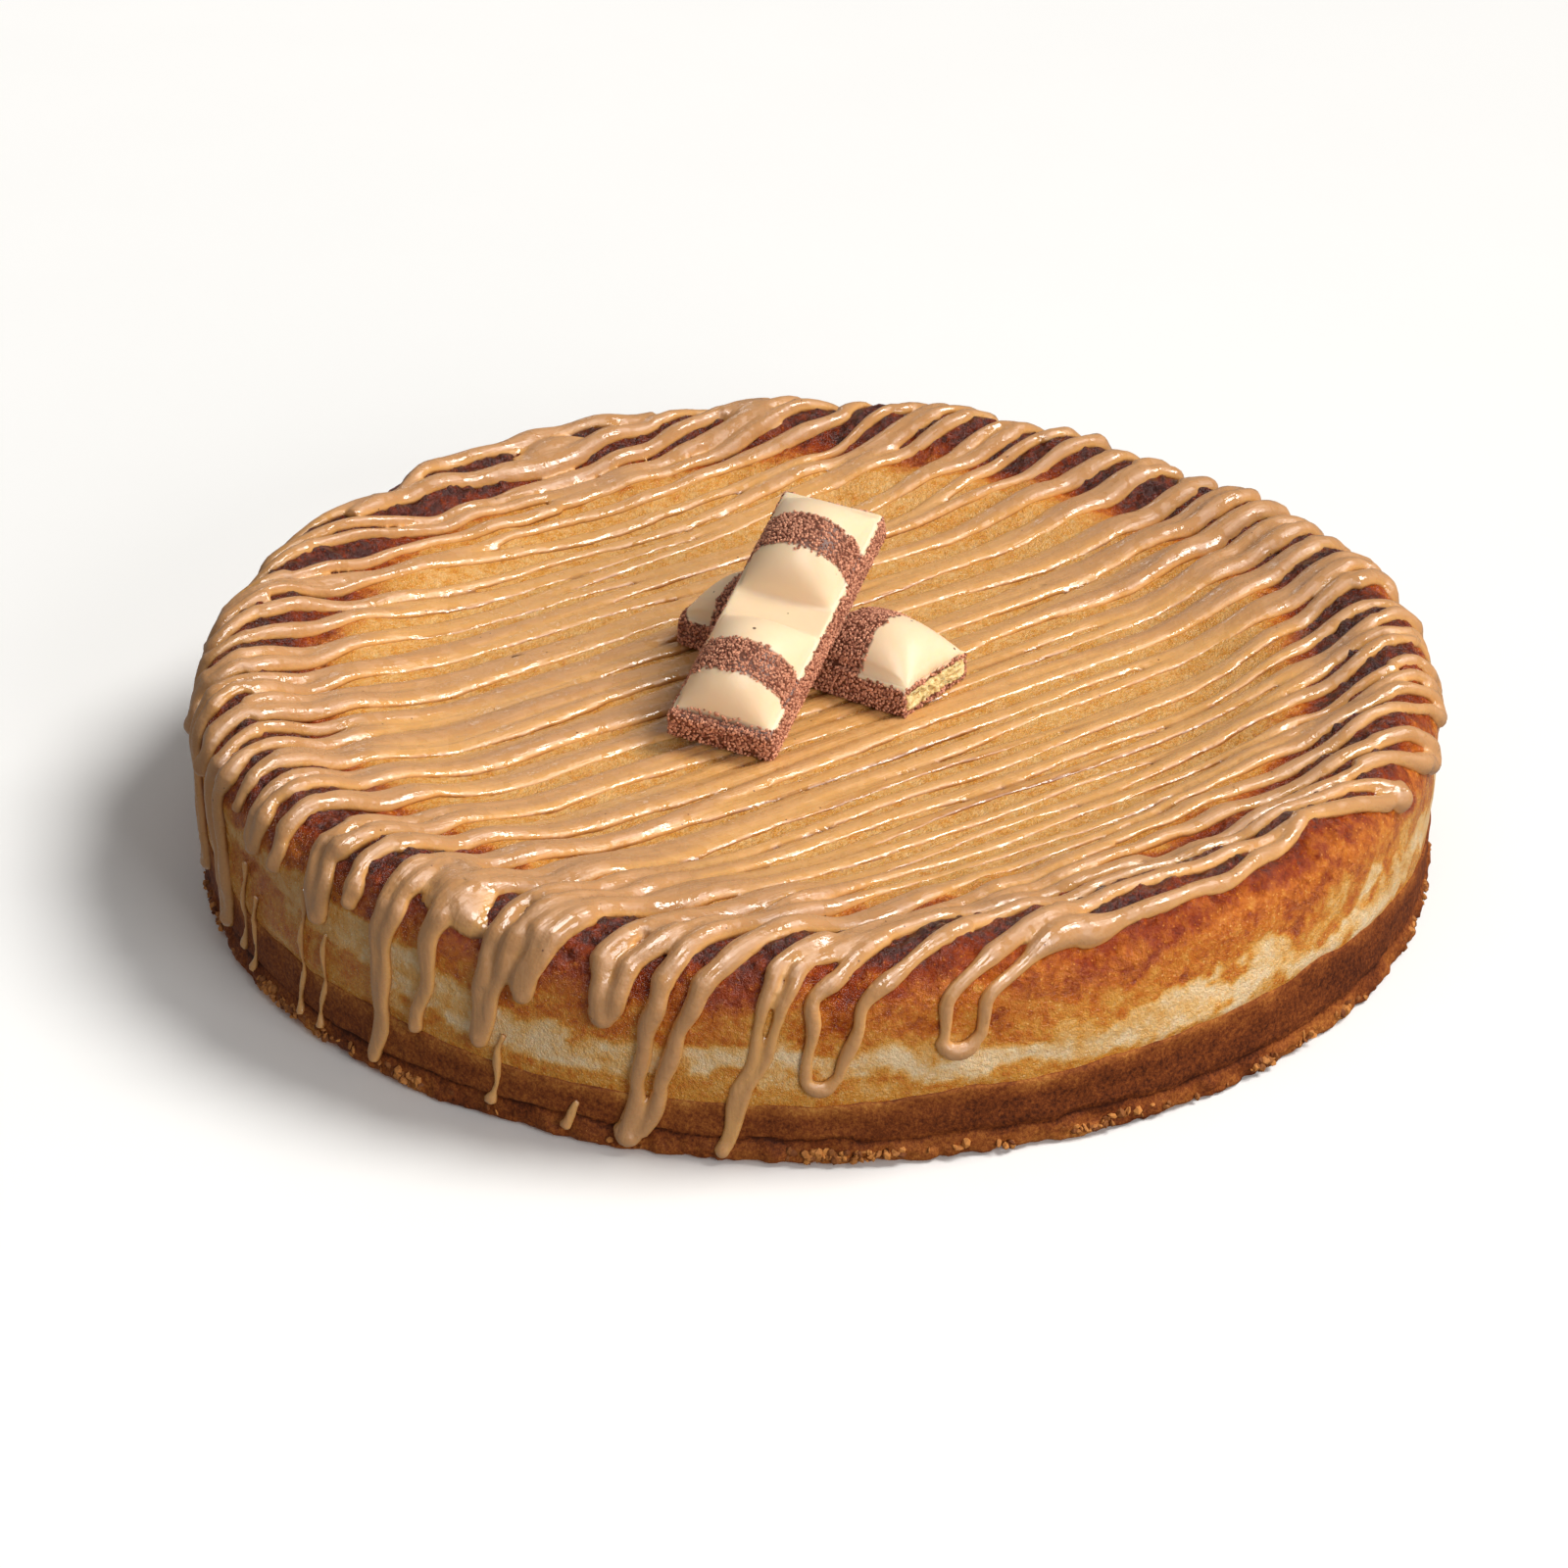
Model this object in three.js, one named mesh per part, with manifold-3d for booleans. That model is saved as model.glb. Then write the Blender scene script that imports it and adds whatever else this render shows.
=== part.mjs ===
// Baked cheesecake on a biscuit base, striped with caramel cream, with two wafer bars crossed on top.
// Millimetres, +Z up, origin at the middle of the flat underside. The front of the cake faces -Y.
import * as THREE from "three";
import { mergeVertices } from "three/addons/utils/BufferGeometryUtils.js";
import Module from "manifold-3d";

const wasm = await Module();
wasm.setup();

// Driving dimensions of the cake
const CAKE_RADIUS = 130;
const BASE_HEIGHT = 15;
const LAYER_GAP = 0.3;
const SHOULDER_HEIGHT = 33;
const RIM_RADIUS = 120;
const RIM_HEIGHT = 44.5;
const DISH_RADIUS = 74;
const DISH_HEIGHT = 34.4;
const RIM_TILT = 1.2;
const RIM_TILT_ANGLE = 95;
const RIM_DIP = 2.8;
const RIM_DIP_ANGLE = 48;
const RIM_DIP_SPREAD = 16;
const RIM_RIPPLE = 0.5;
const RIM_RIPPLES = 5;

// Driving dimensions of the biscuit base
const BASE_SIDES = 72;
const FOOT_RADIUS = 130.4;
const FOOT_HEIGHT = 3.6;
const GROOVE_HEIGHT = 5.2;
const GROOVE_DEPTH = 0.9;
const FOOT_BEVEL = 1.2;
const FOOT_CRUMB = 0.7;
const FOOT_CRUMB_WAVES = [17, 29, 41];

// Driving dimensions of the cream, one long line laid to and fro from the front of the cake to its back
const STRAND_ANGLE = 37;
const STRAND_COUNT = 44;
const STRAND_PITCH = 5.45;
const FRONT_STRAND = 121.2;
const STRAND_SHIFT = 0.7;
const STRAND_TOP_SHARE = 0.3;
const STRAND_HEIGHT = 1.9;
const RIM_EXTRA_HEIGHT = 0.4;
const FILM_HEIGHT = 0.7;
const TIP_LENGTH = 4;
const TURN_LENGTH = 4;
const TURN_FULLNESS = 1.4;
const FREE_END_HEIGHT = 41;
const DRIP_LEAN = 0.3;

// Height at which each turn of the cream hangs on the left side, from the front strands to the back ones
const LEFT_TURN_HEIGHTS = [
  24, 17, 2.6, 3.4, 30, 31, 18, 15.6, 4, 37, 30, 35, 34, 38, 8, 36, 10, 34, 28, 36, 20, 33,
];
// On the right side the turns hang between these heights, most of them high
const RIGHT_TURN_LOWEST = 6;
const RIGHT_TURN_HIGHEST = 40;

// Driving dimensions of the runs of cream that reach down over the base
const TAIL_RADIUS = 1.7;
const TAIL_PROUD = 0.3;
const TAIL_STEPS = 12;
const TAIL_TURN_STEPS = 6;
const TAIL_SIDES = 6;

// Driving dimensions of the wafer bars
const BAR_WIDTH = 23.5;
const TRAY_HEIGHT = 6.4;
const BAR_HEIGHT = 14.8;
const HUMP_HALF_LENGTH = 14;
const HUMP_HALF_WIDTH = 11;
const HUMP_SPREAD = 0.265;
const HUMP_ROUNDNESS = 2.5;
const BAR_DRAFT = 0.5;
const BAR_CORNER = 1.6;
const BAR_STEPS = 22;
const BAR_STEPS_ACROSS = 8;
const UPPER_BAR_LENGTH = 67;
const LOWER_BAR_LENGTH = 59;
const BAR_REST = DISH_HEIGHT + STRAND_HEIGHT + LAYER_GAP;
const UPPER_BAR_TURN = { yaw: 68, pitch: 20.7, roll: 5.9 };
const UPPER_BAR_MIDDLE = [-7.9, -3.2];
const LOWER_BAR_PLACE = new THREE.Vector3(0.8, 9.1, BAR_REST);
const LOWER_BAR_TURN = { yaw: -35.5, pitch: 0, roll: 0 };
const WAFER_HEIGHT = 3.6;
const WAFER_FOOT = 1.2;
const WAFER_MARGIN = 1.3;

// Steps of the mesh along one half of a slice through the filling
const WALL_STEPS = 7;
const DISH_STEPS = 9;
const WALL_REACH = 36;
const FRONT_END_ANGLES = [0, 6, 12];
const BACK_END_ANGLES = [20, 12, 6, 0];

const FILLING_FOOT = BASE_HEIGHT + LAYER_GAP;
const WALL_LENGTH = SHOULDER_HEIGHT - FILLING_FOOT;
const SHOULDER_DEPTH = CAKE_RADIUS - RIM_RADIUS;
const SHOULDER_RISE = RIM_HEIGHT - SHOULDER_HEIGHT;
const SHOULDER_LENGTH = (Math.PI / 4) * (SHOULDER_DEPTH + SHOULDER_RISE);
const { clamp, degToRad, smoothstep } = THREE.MathUtils;

// A fixed number from -1 to 1 for each strand and use
function scatter(index, use) {
  const wave = Math.sin(index * 12.9898 + use * 78.233) * 43758.5453;
  return 2 * (wave - Math.floor(wave)) - 1;
}

// Merges shared corners, drops triangles that closed up and returns a plain closed geometry
function closedGeometry(geometry) {
  geometry.deleteAttribute("normal");
  geometry.deleteAttribute("uv");
  const merged = mergeVertices(geometry, 1e-4);
  const kept = [];
  for (let k = 0; k < merged.index.count; k += 3) {
    const [a, b, c] = [merged.index.getX(k), merged.index.getX(k + 1), merged.index.getX(k + 2)];
    if (a !== b && b !== c && c !== a) kept.push(a, b, c);
  }
  merged.setIndex(kept);
  return merged;
}

function solidOf(geometry) {
  const closed = closedGeometry(geometry);
  const vertProperties = Float32Array.from(closed.attributes.position.array);
  const triVerts = Uint32Array.from(closed.index.array);
  return new wasm.Manifold(new wasm.Mesh({ numProp: 3, vertProperties, triVerts }));
}

function geometryOf(solid) {
  const { vertProperties, triVerts } = solid.getMesh();
  const geometry = new THREE.BufferGeometry();
  geometry.setAttribute("position", new THREE.BufferAttribute(vertProperties, 3));
  geometry.setIndex(new THREE.BufferAttribute(triVerts, 1));
  geometry.computeVertexNormals();
  return geometry;
}

function namedMesh(name, geometry, color, roughness) {
  const mesh = new THREE.Mesh(geometry, new THREE.MeshStandardMaterial({ color, roughness, metalness: 0 }));
  mesh.name = name;
  return mesh;
}

// The skin of the filling: how far out and how high it is after a length of path up the wall,
// round the shoulder and in over the dished top, and how far its outward direction leans up
function skinAt(path) {
  if (path <= WALL_LENGTH) return { out: CAKE_RADIUS, up: FILLING_FOOT + path, lean: 0 };
  const round = path - WALL_LENGTH;
  if (round <= SHOULDER_LENGTH) {
    const lean = (Math.PI / 2) * (round / SHOULDER_LENGTH);
    const out = RIM_RADIUS + SHOULDER_DEPTH * Math.cos(lean);
    return { out, up: SHOULDER_HEIGHT + SHOULDER_RISE * Math.sin(lean), lean };
  }
  const out = RIM_RADIUS - (round - SHOULDER_LENGTH);
  const up = DISH_HEIGHT + (RIM_HEIGHT - DISH_HEIGHT) * smoothstep(out, DISH_RADIUS, RIM_RADIUS);
  return { out, up, lean: Math.PI / 2 };
}

// Length of path at which the skin is as far out as a slice is from the middle of the cake
function pathToMiddle(offset) {
  const out = Math.abs(offset);
  if (out < RIM_RADIUS) return WALL_LENGTH + SHOULDER_LENGTH + RIM_RADIUS - out;
  const lean = Math.acos(clamp((out - RIM_RADIUS) / SHOULDER_DEPTH, 0, 1));
  return WALL_LENGTH + SHOULDER_LENGTH * (lean / (Math.PI / 2));
}

// Length of path at a height on the wall or the shoulder
function pathAtHeight(height) {
  if (height <= SHOULDER_HEIGHT) return height - FILLING_FOOT;
  const lean = Math.asin(clamp((height - SHOULDER_HEIGHT) / SHOULDER_RISE, 0, 1));
  return WALL_LENGTH + SHOULDER_LENGTH * (lean / (Math.PI / 2));
}

// The rim rises and falls a little on its way round
function rimUnevenness(angle) {
  const degrees = THREE.MathUtils.radToDeg(angle);
  const fromDip = THREE.MathUtils.euclideanModulo(degrees - RIM_DIP_ANGLE + 180, 360) - 180;
  const dip = RIM_DIP * Math.exp(-((fromDip / RIM_DIP_SPREAD) ** 2));
  const tilt = RIM_TILT * Math.cos(degToRad(degrees - RIM_TILT_ANGLE));
  return tilt - dip + RIM_RIPPLE * Math.sin(RIM_RIPPLES * angle + 1);
}

// Strands are counted from the front of the cake; their offsets from its middle are positive to the front
function strandOffset(strand) {
  return FRONT_STRAND - STRAND_PITCH * strand + STRAND_SHIFT * scatter(strand, 1);
}

// The turn at which a strand ends on one side (-1 left, +1 right), or null where the line starts or stops
function turnHeight(strand, side) {
  if (side < 0) return LEFT_TURN_HEIGHTS[Math.floor(strand / 2)];
  if (strand === 0 || strand === STRAND_COUNT - 1) return null;
  const share = (1 + scatter(Math.floor((strand + 1) / 2), 2)) / 2;
  return RIGHT_TURN_HIGHEST - (RIGHT_TURN_HIGHEST - RIGHT_TURN_LOWEST) * share ** 2;
}

function joined(strand, side) {
  const first = side < 0 ? strand % 2 === 0 : strand % 2 === 1;
  return first && strand + 1 < STRAND_COUNT;
}

// How far the cream stands off the skin along the top of a strand
function strandRelief(strand, side, path) {
  const tip = pathAtHeight(turnHeight(strand, side) ?? FREE_END_HEIGHT);
  const rise = clamp((path - tip) / TIP_LENGTH, 0, 1);
  const onRim = 1 - smoothstep(Math.abs(path - WALL_LENGTH - SHOULDER_LENGTH), 0, SHOULDER_LENGTH);
  return (STRAND_HEIGHT + RIM_EXTRA_HEIGHT * onRim) * Math.sqrt(rise);
}

// How far the cream stands off the skin between a strand and the next: a film on the dish, and the turns
function valleyRelief(strand, side, path) {
  const film = FILM_HEIGHT * (1 - smoothstep(skinAt(path).out, DISH_RADIUS, RIM_RADIUS));
  if (!joined(strand, side) || path > WALL_LENGTH + SHOULDER_LENGTH) return film;
  const fromTurn = path - pathAtHeight(turnHeight(strand, side)) - TURN_LENGTH / 2;
  return STRAND_HEIGHT * clamp(TURN_FULLNESS * (1 - Math.abs(fromTurn) / TURN_LENGTH), 0, 1);
}

// Direction from the middle of the cake to a strand, where it is a given distance out and length of path up.
// Strands that cross the rim askew go on leaning the same way as they run down the wall
function strandBearing(offset, side, out, path) {
  const along = Math.sqrt(Math.max(out * out - offset * offset, 0));
  const drop = Math.max(WALL_LENGTH - path, 0);
  const skew = (2 * offset * along) / (out * out);
  return degToRad(STRAND_ANGLE) + Math.atan2(-offset, side * along) + (side * DRIP_LEAN * skew * drop) / out;
}

// One point of the creamed skin, on the slice at an offset
function skinPoint(offset, side, path, relief) {
  const { out, up, lean } = skinAt(path);
  const bearing = strandBearing(offset, side, out, path);
  const share = smoothstep(out, DISH_RADIUS, RIM_RADIUS) * smoothstep(up, FILLING_FOOT, RIM_HEIGHT);
  const reach = out + relief * Math.cos(lean);
  const z = up + rimUnevenness(bearing) * share + relief * Math.sin(lean);
  return [reach * Math.cos(bearing), reach * Math.sin(bearing), z];
}

// Paths from the foot of the wall to the middle of a slice, close together on the wall and wider on the dish
function slicePaths(offset) {
  const end = pathToMiddle(offset);
  const bend = Math.min(WALL_REACH, end / 2);
  const paths = [];
  for (let k = 0; k <= WALL_STEPS; k++) paths.push((bend * k) / WALL_STEPS);
  for (let k = 1; k <= DISH_STEPS; k++) paths.push(bend + ((end - bend) * k) / DISH_STEPS);
  return paths;
}

// One slice through the filling from its left foot over the top to its right foot
function slicePoints({ offset, relief }) {
  const paths = slicePaths(offset);
  const left = paths.map((path) => skinPoint(offset, -1, path, relief(-1, path)));
  const right = paths.slice(0, -1).map((path) => skinPoint(offset, 1, path, relief(1, path)));
  return [...left, ...right.reverse()];
}

// Slices from front to back: bare ones at both ends, and two tops and a valley for each strand
function fillingSlices() {
  const bare = (offset) => ({ offset, relief: () => 0 });
  const endOffset = (angle) => CAKE_RADIUS * Math.cos(degToRad(angle));
  const slices = FRONT_END_ANGLES.map((angle) => bare(endOffset(angle)));
  slices.push(bare(strandOffset(0) + STRAND_PITCH / 2));
  for (let strand = 0; strand < STRAND_COUNT; strand++) {
    const offset = strandOffset(strand);
    for (const edge of [1, -1]) {
      const relief = (side, path) => strandRelief(strand, side, path);
      slices.push({ offset: offset + edge * STRAND_TOP_SHARE * STRAND_PITCH, relief });
    }
    if (strand + 1 < STRAND_COUNT) {
      const relief = (side, path) => valleyRelief(strand, side, path);
      slices.push({ offset: (offset + strandOffset(strand + 1)) / 2, relief });
    }
  }
  slices.push(bare(strandOffset(STRAND_COUNT - 1) - STRAND_PITCH / 2));
  slices.push(...BACK_END_ANGLES.map((angle) => bare(-endOffset(angle))));
  return slices;
}

// The filling with the cream fused to it, lofted through its slices and closed by a flat underside
function fillingGeometry() {
  const rows = fillingSlices().map(slicePoints);
  const width = rows[0].length;
  const index = [];
  for (let row = 0; row + 1 < rows.length; row++) {
    const front = row * width;
    const back = front + width;
    for (let k = 0; k + 1 < width; k++) {
      index.push(front + k, front + k + 1, back + k);
      index.push(front + k + 1, back + k + 1, back + k);
    }
    index.push(front, back, front + width - 1);
    index.push(back, back + width - 1, front + width - 1);
  }
  const geometry = new THREE.BufferGeometry();
  geometry.setAttribute("position", new THREE.Float32BufferAttribute(rows.flat(2), 3));
  geometry.setIndex(index);
  return closedGeometry(geometry);
}

// Crumbs of the foot stand out unevenly
function footCrumb(angle) {
  const waves = FOOT_CRUMB_WAVES.map((count, k) => Math.sin(count * angle + 2 * k));
  return (FOOT_CRUMB * waves.reduce((sum, wave) => sum + wave)) / waves.length;
}

function baseWallRadius(height) {
  return height < FOOT_HEIGHT ? FOOT_RADIUS : CAKE_RADIUS - LAYER_GAP;
}

// The pressed biscuit disc: a crumbly foot, a groove above it and a plain wall
function baseDisc() {
  const wall = CAKE_RADIUS - LAYER_GAP;
  const profile = [
    [0, 0],
    [FOOT_RADIUS - FOOT_BEVEL, 0],
    [FOOT_RADIUS, FOOT_HEIGHT / 3],
    [FOOT_RADIUS, FOOT_HEIGHT],
    [wall - GROOVE_DEPTH, GROOVE_HEIGHT],
    [wall, GROOVE_HEIGHT + 2 * GROOVE_DEPTH],
    [wall, BASE_HEIGHT],
    [0, BASE_HEIGHT],
  ];
  const outline = profile.map(([out, up]) => new THREE.Vector2(out, up));
  const geometry = new THREE.LatheGeometry(outline, BASE_SIDES);
  geometry.rotateX(Math.PI / 2);
  const position = geometry.attributes.position;
  for (let k = 0; k < position.count; k++) {
    const [x, y, z] = [position.getX(k), position.getY(k), position.getZ(k)];
    const out = Math.hypot(x, y);
    if (z > FOOT_HEIGHT + 0.01 || out < FOOT_RADIUS / 2) continue;
    const stretch = 1 + footCrumb(Math.atan2(y, x)) / out;
    position.setXY(k, x * stretch, y * stretch);
  }
  return solidOf(geometry);
}

// A run of cream that hangs down over the base from two strands and turns at its lowest point,
// cut off level with the top of the base
function tailSolid(strand, side) {
  const low = turnHeight(strand, side);
  const bearings = (up) =>
    [strand, strand + 1].map((one) => strandBearing(strandOffset(one), side, CAKE_RADIUS, up - FILLING_FOOT));
  const [first, second] = bearings(low);
  const half = Math.atan2(Math.sin(second - first), Math.cos(second - first)) / 2;
  const bend = low + Math.abs(half) * CAKE_RADIUS;
  const start = BASE_HEIGHT + TAIL_RADIUS;
  const route = [[bearings(start)[0], start]];
  for (let k = 0; k <= TAIL_TURN_STEPS; k++) {
    const turn = (Math.PI * k) / TAIL_TURN_STEPS;
    route.push([first + half * (1 - Math.cos(turn)), bend - (bend - low) * Math.sin(turn)]);
  }
  route.push([bearings(start)[1], start]);
  const points = route.map(([angle, up]) => {
    const out = baseWallRadius(up) + TAIL_PROUD;
    return new THREE.Vector3(out * Math.cos(angle), out * Math.sin(angle), up);
  });
  const corners = [];
  for (let k = 0; k < TAIL_SIDES; k++) {
    const turn = (2 * Math.PI * k) / TAIL_SIDES;
    corners.push(new THREE.Vector2(TAIL_RADIUS * Math.cos(turn), TAIL_RADIUS * Math.sin(turn)));
  }
  const geometry = new THREE.ExtrudeGeometry(new THREE.Shape(corners), {
    steps: TAIL_STEPS,
    extrudePath: new THREE.CatmullRomCurve3(points),
  });
  const room = new THREE.BoxGeometry(3 * CAKE_RADIUS, 3 * CAKE_RADIUS, BASE_HEIGHT);
  room.translate(0, 0, BASE_HEIGHT / 2);
  return solidOf(geometry).intersect(solidOf(room));
}

function baseGeometry() {
  let base = baseDisc();
  for (let strand = 0; strand + 1 < STRAND_COUNT; strand++) {
    for (const side of [-1, 1]) {
      if (!joined(strand, side) || turnHeight(strand, side) > BASE_HEIGHT - TURN_LENGTH / 2) continue;
      base = base.add(tailSolid(strand, side));
    }
  }
  return geometryOf(base);
}

// Height of a bar's two humps above its tray
function humpRise(along, across, length) {
  let rise = 0;
  for (const end of [-1, 1]) {
    const reach = Math.abs(along - end * HUMP_SPREAD * length) / HUMP_HALF_LENGTH;
    const side = Math.abs(across) / HUMP_HALF_WIDTH;
    if (reach >= 1 || side >= 1) continue;
    rise = Math.max(rise, Math.sqrt((1 - reach ** HUMP_ROUNDNESS) * (1 - side ** HUMP_ROUNDNESS)));
  }
  return (BAR_HEIGHT - TRAY_HEIGHT) * rise;
}

// A bar lying along X on Z = 0: a tray with drafted sides, pulled-in corners and two humps on its top
function barGeometry(length, cutEnd) {
  const geometry = new THREE.BoxGeometry(length, BAR_WIDTH, TRAY_HEIGHT, BAR_STEPS, BAR_STEPS_ACROSS, 1);
  geometry.translate(0, 0, TRAY_HEIGHT / 2);
  const position = geometry.attributes.position;
  for (let k = 0; k < position.count; k++) {
    let [x, y, z] = [position.getX(k), position.getY(k), position.getZ(k)];
    const top = z > TRAY_HEIGHT / 2;
    if (top) z += humpRise(x, y, length);
    const atEnd = Math.abs(x) > length / 2 - 0.01 && !(cutEnd && x > 0);
    if (atEnd && Math.abs(y) > BAR_WIDTH / 2 - 0.01) {
      x -= Math.sign(x) * BAR_CORNER;
      y -= Math.sign(y) * BAR_CORNER / 2;
    }
    if (top && Math.abs(y) > BAR_WIDTH / 2 - BAR_CORNER) y -= Math.sign(y) * BAR_DRAFT;
    if (top && atEnd) x -= Math.sign(x) * BAR_DRAFT;
    position.setXYZ(k, x, y, z);
  }
  return closedGeometry(geometry);
}

// The wafer of the broken bar, from inside its whole end out to the broken face
function waferGeometry(clearance) {
  const length = LOWER_BAR_LENGTH - 2 * WAFER_MARGIN + 2 * clearance;
  const width = BAR_WIDTH - 2 * WAFER_MARGIN + 2 * clearance;
  const height = WAFER_HEIGHT + 2 * clearance;
  const geometry = new THREE.BoxGeometry(length, width, height);
  const start = 2 * WAFER_MARGIN - LOWER_BAR_LENGTH / 2 - clearance;
  geometry.translate(start + length / 2, 0, WAFER_FOOT + WAFER_HEIGHT / 2);
  return geometry;
}

function brokenBarGeometry() {
  return geometryOf(solidOf(barGeometry(LOWER_BAR_LENGTH, true)).subtract(solidOf(waferGeometry(LAYER_GAP))));
}

// The upper bar leans on the lower one, with the lowest corner of its near end on the cream
function upperBarPlace() {
  const pitch = degToRad(UPPER_BAR_TURN.pitch);
  const roll = degToRad(UPPER_BAR_TURN.roll);
  const endDrop = (UPPER_BAR_LENGTH / 2 - BAR_CORNER) * Math.sin(pitch);
  const sideDrop = (BAR_WIDTH / 2 - BAR_CORNER / 2) * Math.sin(roll) * Math.cos(pitch);
  return new THREE.Vector3(...UPPER_BAR_MIDDLE, BAR_REST + LAYER_GAP / 2 + endDrop + sideDrop);
}

// A group that turns a bar's pieces about the middle of its underside and sets them on the cake
function placedGroup(place, { yaw, pitch, roll }, meshes) {
  const group = new THREE.Group();
  group.position.copy(place);
  group.rotation.set(degToRad(roll), degToRad(-pitch), degToRad(yaw), "ZYX");
  group.add(...meshes);
  return group;
}

const group = new THREE.Group();
group.add(namedMesh("base", baseGeometry(), 0x9a5a26, 0.75));
group.add(namedMesh("filling", fillingGeometry(), 0xd9a860, 0.35));
group.add(
  placedGroup(LOWER_BAR_PLACE, LOWER_BAR_TURN, [
    namedMesh("bar_lower_coat", brokenBarGeometry(), 0xf3e6c4, 0.4),
    namedMesh("bar_lower_wafer", closedGeometry(waferGeometry(0)), 0xe4c98a, 0.8),
  ]),
);
group.add(
  placedGroup(upperBarPlace(), UPPER_BAR_TURN, [
    namedMesh("bar_upper", barGeometry(UPPER_BAR_LENGTH, false), 0xf3e6c4, 0.4),
  ]),
);

export default group;
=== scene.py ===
import math

import bpy
import numpy as np
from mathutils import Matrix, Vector


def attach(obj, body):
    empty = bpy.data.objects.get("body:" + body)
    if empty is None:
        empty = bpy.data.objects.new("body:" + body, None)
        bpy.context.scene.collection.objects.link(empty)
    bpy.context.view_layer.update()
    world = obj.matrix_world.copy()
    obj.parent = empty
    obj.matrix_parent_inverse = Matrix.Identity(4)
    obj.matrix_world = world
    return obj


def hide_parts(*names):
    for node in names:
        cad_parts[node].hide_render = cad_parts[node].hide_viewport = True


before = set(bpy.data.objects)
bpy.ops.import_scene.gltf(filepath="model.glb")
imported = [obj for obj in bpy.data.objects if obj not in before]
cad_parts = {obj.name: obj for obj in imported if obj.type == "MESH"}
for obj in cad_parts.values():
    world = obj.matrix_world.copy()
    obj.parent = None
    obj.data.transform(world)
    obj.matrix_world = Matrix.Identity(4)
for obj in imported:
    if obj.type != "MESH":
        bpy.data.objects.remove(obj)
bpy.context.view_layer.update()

# All sizes are in millimetres and degrees, as in the solids; meshes are written in metres
MM = 0.001

# Sizes of the cake's skin
CAKE_RADIUS = 130
BASE_HEIGHT = 15
LAYER_GAP = 0.3
FILLING_FOOT = BASE_HEIGHT + LAYER_GAP
SHOULDER_HEIGHT = 33
RIM_RADIUS = 120
RIM_HEIGHT = 44.5
DISH_RADIUS = 74
DISH_HEIGHT = 35.5
INNER_DIP = 2.6
INNER_DIP_RADIUS = 107
INNER_DIP_SPREAD = 7
RIM_TILT = 1.2
RIM_TILT_ANGLE = 95
RIM_DIP = 2.8
RIM_DIP_ANGLE = 48
RIM_DIP_SPREAD = 16
WALL_LENGTH = SHOULDER_HEIGHT - FILLING_FOOT
SHOULDER_DEPTH = CAKE_RADIUS - RIM_RADIUS
SHOULDER_RISE = RIM_HEIGHT - SHOULDER_HEIGHT
SHOULDER_LENGTH = math.pi / 4 * (SHOULDER_DEPTH + SHOULDER_RISE)
CREST_PATH = WALL_LENGTH + SHOULDER_LENGTH

# Waves round the rim: height, how many go round the cake, and phase
RIM_WAVES = ((0.5, 5, 1), (0.55, 19, 1.3), (0.44, 33, 4), (0.33, 47, 2))

# Rings of the skin: first path, last path and spacing; then how far in, spacing and number of points
RING_POINTS = 1024
WALL_AND_RIM_RINGS = (
    (0.5, WALL_LENGTH, 1.0),
    (WALL_LENGTH + 0.3, CREST_PATH + 12, 0.8),
    (CREST_PATH + 12.5, CREST_PATH + 20, 1.2),
)
DISH_RINGS = ((55, 1.6, 512), (28, 2.0, 256), (14, 2.4, 128), (6, 2.8, 64))

# Blisters on the rim, and how the skin is lifted and tucked in where it meets the biscuit
BLISTER_HEIGHT = 1.3
BLISTER_SINK = 0.35
LINE_LIFT_REACH = 10
FOOT_TUCK = 0.5
FOOT_TUCK_REACH = 1.2

# Rings under the filling: inset, and depth below the line where it meets the biscuit
FILLING_UNDERSIDE = ((5, 4), (1.2, 3), (0.6, 0.5))

# Browning along the path over the skin, from 0 for pale cheese to 1 for almost black
BROWNING_STAGES = (
    (-5, 0.4), (1, 0.42), (5, 0.5), (14, 0.53), (20, 0.61), (24.5, 0.74), (28, 0.88), (31, 0.96), (44, 0.96),
    (49, 0.74), (53.5, 0.45), (60, 0.33), (400, 0.29),
)

# Pale band on the wall: direction, path up the wall and half width
PALE_BAND = (
    (-170, 16, 4), (-144, 16, 4), (-124, 10, 4), (-110, 4, 4), (-95, 8.2, 3.4), (-75, 5, 3.2), (-40, 7, 5),
    (-20, 6.5, 5), (30, 8, 3), (90, 6, 2.5), (140, 11, 3), (190, 16, 4),
)
PALE_EDGE = 1.8
PALENESS = 0.46

# How far patches, painted light and painted shade shift or change the browning, and stretches of path over
# which they come and go
FINE_SHIFT = 1.1
FINE_SHIFT_END = (12, 18)
# Painted light: the browning starts further up the wall on the side facing the light, so that side is paler
LIT_SIDE_PAINTED_LIGHT = 3
LIT_SIDE_PAINTED_LIGHT_START = (8, 20)
PALE_START = (0.6, 2.4)
PALE_SPOTS = 0.4
PALE_SPOTS_END = (17, 21)
# Painted shade: the share of paleness that the pale band loses on the side in shade
PALE_BAND_PAINTED_SHADE = 0.45
BROWN_BLOTCHES = 0.13
BLOTCHES_START = (9, 14)
BLOTCHES_END = (22, 27)
LEAST_BROWNING = 0.03

# Bearings of the side that faces the light and of the side in shade, which steer painted light and painted
# shade on the skin and the biscuit, and of the crumb line's deepest waves
LIT_SIDE = -30
SHADED_SIDE = 160
WAVY_SIDE = -75

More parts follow.
